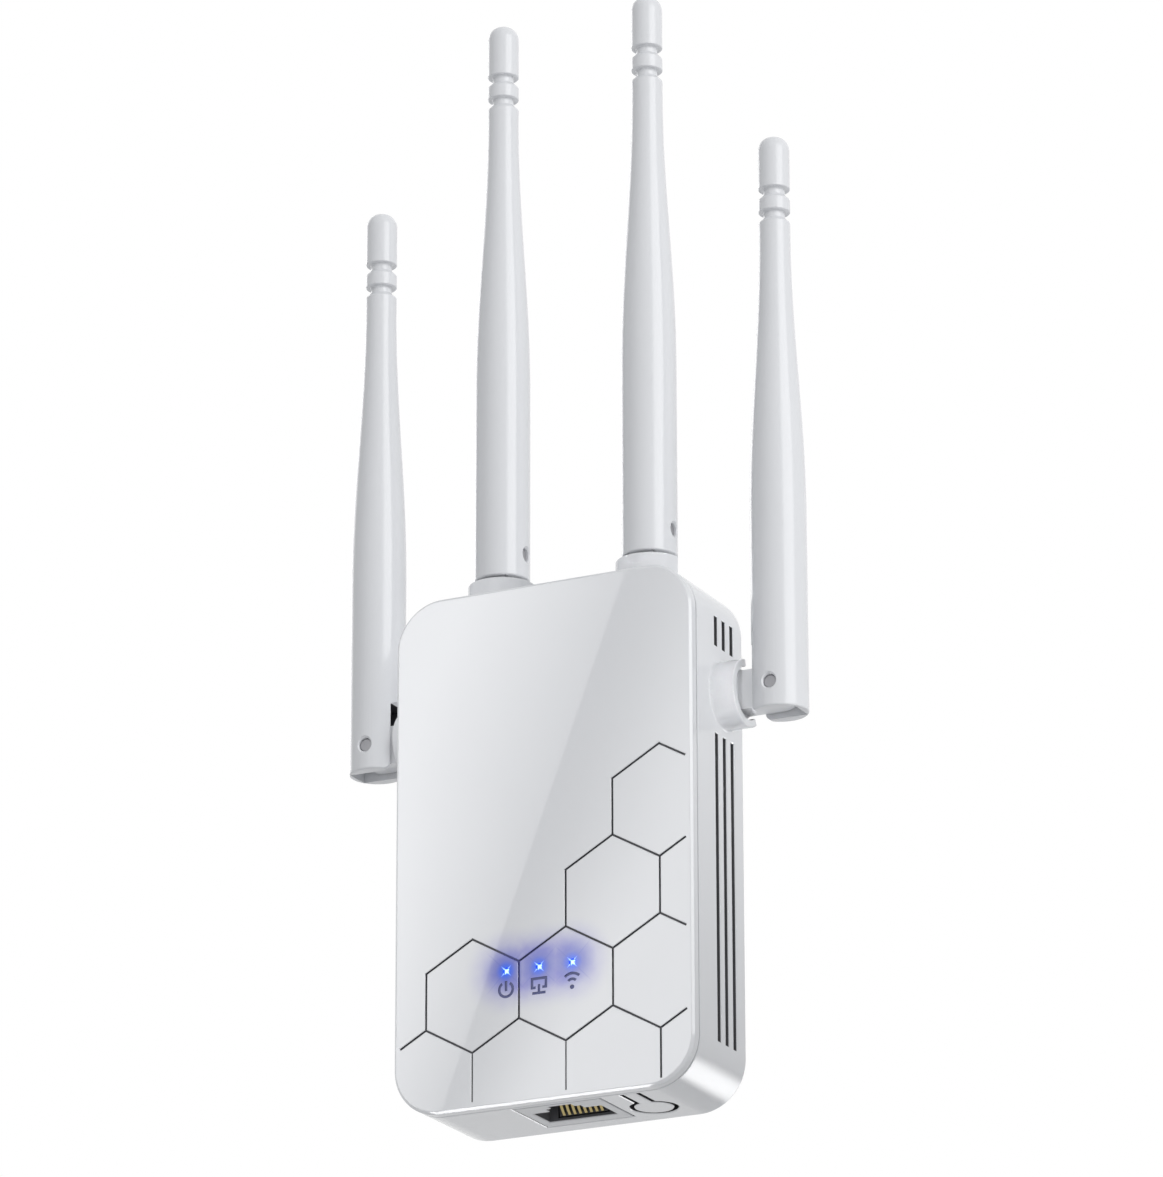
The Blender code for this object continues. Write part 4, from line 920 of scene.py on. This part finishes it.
gold_finish = metal("contact_gold", (0.74, 0.60, 0.28), 0.3, (1, 1, 14))
SPRING_PATH = [(-6.3, 1.1), (-6.9, 1.05), (-7.5, 1.6), (-8.1, 2.3)]
SPRING_PATH += [(-8.55, 3.2), (-8.67, 5.0), (-8.6, 8.0), (-8.4, 11.6)]
SPRINGS = 8
SPRING_HALF = 0.24 * MM
SPRING_THICK = 0.25 * MM
PITCH = 1.02 * MM
contacts = piece("contact_carrier", box(carrier_low, carrier_high), jack_dark)
points = [Vector((0, y * MM, BOTTOM_Z + z * MM)) for y, z in SPRING_PATH]
for count in range(SPRINGS):
    x = JACK_X + (count - (SPRINGS - 1) / 2) * PITCH
    loops = []
    for i, point in enumerate(points):
        before, after = points[max(i - 1, 0)], points[min(i + 1, len(points) - 1)]
        normal = (after - before).normalized().cross(Vector((1, 0, 0))) * SPRING_THICK / 2
        near, far = point - normal, point + normal
        edges = ((-SPRING_HALF, near), (SPRING_HALF, near), (SPRING_HALF, far), (-SPRING_HALF, far))
        loops.append([(x + u, p.y, p.z) for u, p in edges])
    add(contacts, loft(loops), gold_finish)
dress(contacts, "case", "contact_gold", "jack_contacts")

# %% [markdown]
# ## The reset button
# The button is part of the bottom wall: a round pad on a thin arm that bends when the pad is pressed.
# A stem on its inner side reaches up to the switch. The pad sits flush in its ring-shaped slit.

# %% Reset button
PAD_THICK = 1.3 * MM
PAD_PLAY = 0.15 * MM
ROOT_PLAY = 0.04 * MM
STEM_RADIUS = 1.1 * MM
outline = keyhole(-PAD_PLAY, ARM_ROOT - GAP + ROOT_PLAY)
levels = ((0, -SOFT), (SOFT, 0), (PAD_THICK - SOFT, 0), (PAD_THICK, -SOFT))
shape = loft([[(x, y, BOTTOM_Z + z) for x, y in outline(by)] for z, by in levels])
# The pad's upright sides get the second finish, which is painted shade.
for face in shape.faces:
    face.material_index = int(abs(face.normal.z) < 0.3)
button = piece("button_pad", shape, case_finish, shade_finish)
stem_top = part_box("reset_button")[1].z - BOTTOM_Z
stem = [(STEM_RADIUS, PAD_THICK - SOFT), (STEM_RADIUS, stem_top - SOFT), (1.0 * MM, stem_top)]
add(button, moved(turned(stem, 32), Matrix.Translation((PAD_X, PAD_Y, BOTTOM_Z))))
dress(button, "reset_button", "case_white", "reset_button")

# %% [markdown]
# ## The light guide
# One clear moulding carries the light of three small diodes to the front: three posts on a bar, each
# with a thin domed tip in a hole of the cover. Its glow is painted: an emission with painted stars,
# strongest at the tips, stands in for the light of the diodes.

# %% Light guide
guide_finish, tree, shader = new_finish("clear_guide")
painted_star = painted_glow_patterns(tree)[3]
haze = speckle(tree, 0.8 * MM, 3.0)
tree.links.new(blend(tree, haze, (0.20, 0.38, 0.90), (0.28, 0.46, 0.94)), shader.inputs["Base Color"])
tree.links.new(between(tree, haze, 0.1, 0.2), shader.inputs["Roughness"])
shader.inputs["Transmission Weight"].default_value = 0.3
# Painted light: the emission and its stars stand in for the diodes' light in the guide.
tree.links.new(blend(tree, painted_star, *PAINTED_STAR_COLOURS), shader.inputs["Emission Color"])
tree.links.new(between(tree, painted_star, 0.35, 1.5), shader.inputs["Emission Strength"])
GUIDE_POST = 1.1 * MM
GUIDE_TIP = 0.55 * MM
GUIDE_DOME = 0.35 * MM
SHOULDER = COVER_BACK + GAP
BAR_HALF = 0.8 * MM
low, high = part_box("light_guide")
bar_y = (SHOULDER + high.y) / 2
bar_low = (LIGHT_X[0], bar_y - BAR_HALF, LIGHT_Z - BAR_HALF)
guide = piece("light_pipe", box(bar_low, (LIGHT_X[2], bar_y + BAR_HALF, LIGHT_Z + BAR_HALF)), guide_finish)
post = [(GUIDE_POST, 0), (GUIDE_POST, high.y - SHOULDER), (GUIDE_TIP, high.y - SHOULDER)]
post += [(GUIDE_TIP * c, high.y - low.y - GUIDE_DOME * (1 - s)) for s, c in quarter(6)[:-1]]
post.append((0.08 * MM, high.y - low.y))
for x in LIGHT_X:
    add(guide, moved(turned(post, 32), Matrix.Translation((x, high.y, LIGHT_Z)) @ TO_FRONT))
dress(guide, "case", "clear_guide", "light_guide")

# %% [markdown]
# ## The antennas
# Each antenna is a long slim moulding: a straight stem, a gentle taper, a thin end with two ring grooves
# and a rounded tip. Its foot is a fork, open at the end and towards the side that it folds to,
# with a cross hole for the pin. We turn one profile, and cut the fork from it.

# %% Antenna profile
LENGTH = 105 * MM
FOOT = 4.5 * MM
STEM = 4.85 * MM
SLIM = 2.73 * MM
TIP_RADIUS = 2.75 * MM
TIP_ROUND = 2.5 * MM
TIP_FLAT = 0.5 * MM
FOOT_ROUND = 0.35 * MM
TAPER_STEPS = 36
GROOVE = TIP_RADIUS - 0.9 * MM
GROOVE_HALF = 0.55 * MM


def antenna_profile():
    """Radii along the antenna, heights from the pin."""
    profile = [(STEM - FOOT_ROUND * (1 - s), FOOT_ROUND * (1 - c)) for s, c in quarter(4)]
    for step in range(TAPER_STEPS + 1):
        share = step / TAPER_STEPS
        radius = STEM + (SLIM - STEM) * (1 - cos(pi * share)) / 2
        profile.append((radius, (35 + 52 * share) * MM))
    for from_tip in (14.6 * MM, 10.3 * MM):
        middle = LENGTH - from_tip
        start = middle - GROOVE_HALF
        end = middle + GROOVE_HALF
        profile += [(TIP_RADIUS, start - 0.95 * MM), (TIP_RADIUS - 0.1 * MM, start - 0.8 * MM)]
        profile += [(GROOVE, start), (GROOVE, end - SOFT), (GROOVE + SOFT, end)]
        profile += [(TIP_RADIUS - SOFT, end), (TIP_RADIUS, end + SOFT)]
    for s, c in quarter(10):
        profile.append((TIP_FLAT + (TIP_RADIUS - TIP_FLAT) * c, LENGTH - TIP_ROUND * (1 - s)))
    return [(radius, height - FOOT) for radius, height in profile]


print("profile points", len(antenna_profile()))

# %% [markdown]
# The swivel under each antenna is a round foot that turns in the collar, with a tongue that goes between
# the fork's cheeks. The pin is a short steel rod with a flat head pressed on each end, sunk a little
# below the surface. Where each one stands comes from the same hinge list as the collars.

# %% Antennas, swivels and pins
steel_finish = metal("pin_steel", (0.42, 0.42, 0.44), 0.55, (1, 1, 6))
PIN_OUT = 10.5 * MM
SWIVEL = 4.3 * MM
SWIVEL_TOP = PIN_OUT - hypot(FOOT, STEM) - GAP
TONGUE = 3.45 * MM
TONGUE_HALF = 2.2 * MM
FORK_HALF = 2.5 * MM
FORK_BACK = 1.0 * MM
SLOT_TOP = TONGUE + 4.0 * MM
FOLD_FLAT = 3.9 * MM
FOLD_ROUND = 1.2 * MM
PIN = 0.9 * MM
PIN_HOLE = 1.2 * MM
BORE = 1.5 * MM
MOUTH = PIN_HOLE + 0.38 * MM
HEAD = 1.14 * MM
PIN_END = STEM - 0.7 * MM
PIN_HEAD = [(HEAD, PIN_END - 0.6 * MM), (HEAD, PIN_END - SOFT), (HEAD - SOFT, PIN_END)]
SPIGOT = 2.7 * MM
SPIGOT_END = -3.6 * MM
SWIVEL_SOFT = 0.2 * MM
CLIP_SEAT = 2.0 * MM
BOTH_WAYS = (TO_FRONT, TO_FRONT.inverted())


def cross_rod(radius, half):
    """A rod along Y through the pin's place."""
    return moved(turned([(radius, -half), (radius, half)], 32), TO_FRONT)


def fold_corner():
    """What is taken off the fork's cheeks on the side they fold to, with a round at the lower corner."""
    outline = [(FOLD_FLAT - FOLD_ROUND, -2 * FOOT)]
    for step in range(9):
        angle = pi / 2 * (step / 8 - 1)
        x = FOLD_FLAT - FOLD_ROUND * (1 - cos(angle))
        outline.append((x, FOLD_ROUND * (1 + sin(angle)) - FOOT))
    outline += [(FOLD_FLAT, SLOT_TOP - SOFT), (2 * STEM, SLOT_TOP + STEM), (2 * STEM, -2 * FOOT)]
    return loft([[(x, y, z) for x, z in outline] for y in (-2 * STEM, 2 * STEM)])


def make_shell(name):
    shell = piece(name, turned(antenna_profile()), antenna_finish)
    cut(shell, turned([(BORE, -2 * FOOT), (BORE, LENGTH - FOOT - 16 * MM)], 32))
    cut(shell, fold_corner())
    roof = TONGUE + 0.8 * MM
    back = FORK_BACK - STEM
    cut(shell, box((back, -FORK_HALF, -2 * FOOT), (2 * STEM, FORK_HALF, roof)))
    # The upper part of the fork's slot gets painted shade.
    cut(shell, box((back, -FORK_HALF, roof - SOFT), (2 * STEM, FORK_HALF, SLOT_TOP)), shade_finish)
    cut(shell, cross_rod(PIN_HOLE, 2 * STEM))
    funnel = [(PIN_HOLE - SOFT, STEM - 0.5 * MM), (MOUTH, STEM), (MOUTH, 2 * STEM)]
    for way in BOTH_WAYS:
        cut(shell, moved(turned(funnel, 32), way))
    return shell


def make_swivel(name):
    """A foot with a spigot that has a seat for the clip, and a tongue with a hole for the pin."""
    profile = [(1.0 * MM, -WALL / 2), (1.0 * MM, SPIGOT_END)]
    profile += [(SPIGOT - SOFT, SPIGOT_END), (SPIGOT, SPIGOT_END + SOFT), (SPIGOT, -2.65 * MM)]
    profile += [(CLIP_SEAT, -2.65 * MM), (CLIP_SEAT, -1.75 * MM), (SPIGOT, -1.75 * MM)]
    profile += [(SPIGOT, GAP), (SWIVEL - SOFT, GAP), (SWIVEL, GAP + SOFT)]
    for s, c in quarter(4):
        profile.append((SWIVEL - SWIVEL_SOFT * (1 - c), SWIVEL_TOP - SWIVEL_SOFT * (1 - s)))
    base = piece(name, turned(profile), antenna_finish)
    outline = [(TONGUE, SWIVEL_TOP - 0.6 * MM)]
    for step in range(33):
        angle = pi * step / 32
        outline.append((TONGUE * cos(angle), PIN_OUT + TONGUE * sin(angle)))
    outline.append((-TONGUE, SWIVEL_TOP - 0.6 * MM))
    tongue = [[(x, y, z) for x, z in outline] for y in (-TONGUE_HALF, TONGUE_HALF)]
    add(base, loft(tongue))
    cut(base, moved(cross_rod(PIN_HOLE, 2 * TONGUE), Matrix.Translation((0, 0, PIN_OUT))))
    return base


for name, (place, out, fold, short, height, rest) in hinges.items():
    swivel_axes = axes(place, fold, out.cross(fold), out)
    pin_axes = swivel_axes @ Matrix.Translation((0, 0, PIN_OUT)) @ Matrix.Rotation(rest, 4, "Y")
    base = make_swivel("swivel_foot_" + name)
    base.data.transform(swivel_axes)
    dress(base, "swivel_" + name, "antenna_white", "swivel_base_" + name)
    shell = make_shell("antenna_tube_" + name)
    shell.data.transform(pin_axes)
    dress(shell, "antenna_" + name, "antenna_white", "antenna_shell_" + name)
    pin = piece("pin_rod_" + name, cross_rod(PIN, PIN_END - SOFT), steel_finish)
    for way in BOTH_WAYS:
        add(pin, moved(turned(PIN_HEAD, 32), way))
    pin.data.transform(pin_axes)
    dress(pin, "antenna_" + name, "plain_steel", "hinge_pin_" + name)

# %% [markdown]
# ## The plug blades
# Two flat brass blades with cut corners and an eye near the tip, as on any such plug. They are stamped
# from sheet, so the edges are a little rounded, and plugging in and out leaves fine scratches
# along them.

# %% Plug blades
brass_finish = metal("blade_brass", (0.80, 0.62, 0.32), 0.3, (1, 20, 1), drift=0.08, scratch=0.35)
BLADE_HALF = 0.75 * MM
BLADE_TALL = 3.175 * MM
BLADE_TIP = 1.6 * MM
EYE = 1.5 * MM
EYE_RIM = 1.7 * MM
EYE_FROM_TIP = 5 * MM


def blade_outline(root, tip, half):
    """A blade seen from its side, with the corners of its tip cut off."""
    lower = [(root, -half), (tip - BLADE_TIP, -half), (tip, BLADE_TIP - half)]
    return lower + [(y, -z) for y, z in reversed(lower)]


levels = ((-BLADE_HALF, -SOFT), (SOFT - BLADE_HALF, 0), (BLADE_HALF - SOFT, 0), (BLADE_HALF, -SOFT))
eye = [(EYE_RIM if by else EYE, u) for u, by in levels]
for name, x in (("left", -BLADE_X), ("right", BLADE_X)):
    low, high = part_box("plug_blade_" + name)
    loops = []
    for u, by in levels:
        outline = blade_outline(low.y, high.y + by, BLADE_TALL + by)
        loops.append([(x + u, y, z) for y, z in outline])
    blade = piece("blade_" + name, loft(loops), brass_finish)
    add(blade, box((low.x, low.y, low.z), (high.x, -WALL - GAP, high.z)))
    across = Matrix.Translation((x, high.y - EYE_FROM_TIP, 0)) @ Matrix.Rotation(pi / 2, 4, "Y")
    cut(blade, moved(turned(eye, 40), across))
    dress(blade, "case", "blade_brass", "plug_blade_" + name)

# %% [markdown]
# ## What is inside
# The board and its parts stay as the CAD made them, because only slivers of them show through the vents.
# Each still gets the finish of its real counterpart: green lacquer over copper tracks, tinned steel,
# black moulding compound, brown and dark sleeves, and the jackets of the thin coaxial leads.

# %% Inner finishes
board_finish, tree, shader = new_finish("board_green")
spot = node(tree, "ShaderNodeTexCoord", {}).outputs["Object"]
flat = node(tree, "ShaderNodeMapping", {"Vector": spot, "Rotation": (pi / 2, 0, 0)}).outputs[0]
tracks = node(
    tree,
    "ShaderNodeTexBrick",
    {"Vector": flat, "Scale": 420.0, "Mortar Size": 0.04, "Color1": (0, 0, 0, 1), "Color2": (0, 0, 0, 1)},
)
tracks.inputs["Mortar"].default_value = (1, 1, 1, 1)
green = blend(tree, tracks.outputs["Color"], (0.02, 0.16, 0.07), (0.05, 0.27, 0.12))
tree.links.new(green, shader.inputs["Base Color"])
tree.links.new(between(tree, speckle(tree, 2 * MM), 0.3, 0.5), shader.inputs["Roughness"])
bumped(tree, shader, tracks.outputs["Color"], 0.3, 0.03 * MM)

light_finish = moulded("blue_diode", (0.1, 0.32, 0.95), 0.3)
light_shader = light_finish.node_tree.nodes["Principled BSDF"]
light_shader.inputs["Emission Color"].default_value = (0.1, 0.35, 1.0, 1.0)
light_shader.inputs["Emission Strength"].default_value = 1.5
inner_finishes = {
    "board_green": board_finish,
    "blue_light": light_finish,
    "plain_steel": steel_finish,
    "tinned_steel": metal("tinned_steel", (0.7, 0.71, 0.72), 0.36, (4, 4, 4)),
    "blade_brass": brass_finish,
    "part_black": moulded("part_black", (0.03, 0.03, 0.034), 0.5, grain=0.3 * MM, drift=0.2),
    "part_brown": moulded("part_brown", (0.34, 0.2, 0.1), 0.45, grain=0.3 * MM, drift=0.1),
    "sleeve_blue": moulded("sleeve_blue", (0.05, 0.06, 0.12), 0.32, grain=0.5 * MM, drift=0.1),
    "lead_black": moulded("lead_black", (0.04, 0.04, 0.045), 0.45, grain=0.25 * MM, drift=0.15),
}
slots = {part["node"]: part["material_slot"] for part in frame["record"]["subparts"]}
for name, cad in frame["nodes"].items():
    if not cad.hide_render:
        cad.data.materials.clear()
        cad.data.materials.append(inner_finishes[slots[name]])
print("inner nodes", sum(not cad.hide_render for cad in frame["nodes"].values()))

# %% [markdown]
# ## Which lamp lights which piece
# In a studio each lamp and card is shaded with flags, so that it reaches the one surface that it is meant
# for. Light linking does the same: a lamp gets a collection of the pieces that it lights or passes over,
# and a beam or a key another one of the pieces that cast its shadow or let it through.

# %% Light links


def group(name, pieces, state):
    """A collection whose pieces alone count, or are passed over."""
    made = bpy.data.collections.new(name)
    for each in pieces:
        made.objects.link(each)
    for member in made.collection_objects:
        member.light_linking.link_state = state
    return made


def link_lamp(name, pieces, state="INCLUDE"):
    bpy.data.objects[name].light_linking.receiver_collection = group(name + "_pieces", pieces, state)


def link_shadow(name, pieces, state="INCLUDE"):
    bpy.data.objects[name].light_linking.blocker_collection = group(name + "_shadows", pieces, state)


case_pieces = [housing, cover, button, jack, contacts]
for name in ("front_card", "rim_card", "foot_card"):
    link_lamp(name, [cover])
link_lamp("corner_card", [housing])
link_lamp("case_softbox", case_pieces)
link_lamp("collar_beam", [housing, bpy.data.objects["swivel_foot_side_right"]])
link_lamp("side_beam", [housing, cover])
link_shadow("side_beam", case_pieces)
for name in ("key_softbox", "antenna_card", "edge_card"):
    link_lamp(name, case_pieces, "EXCLUDE")
link_shadow("key_softbox", [housing, cover], "EXCLUDE")

# %% Sizes and finish
new_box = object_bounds()
growth = [max(abs(a - b) for a, b in zip(*pair)) for pair in zip(cad_box, new_box)]
print("grown by", [round(value / MM, 3) for value in growth], "mm")
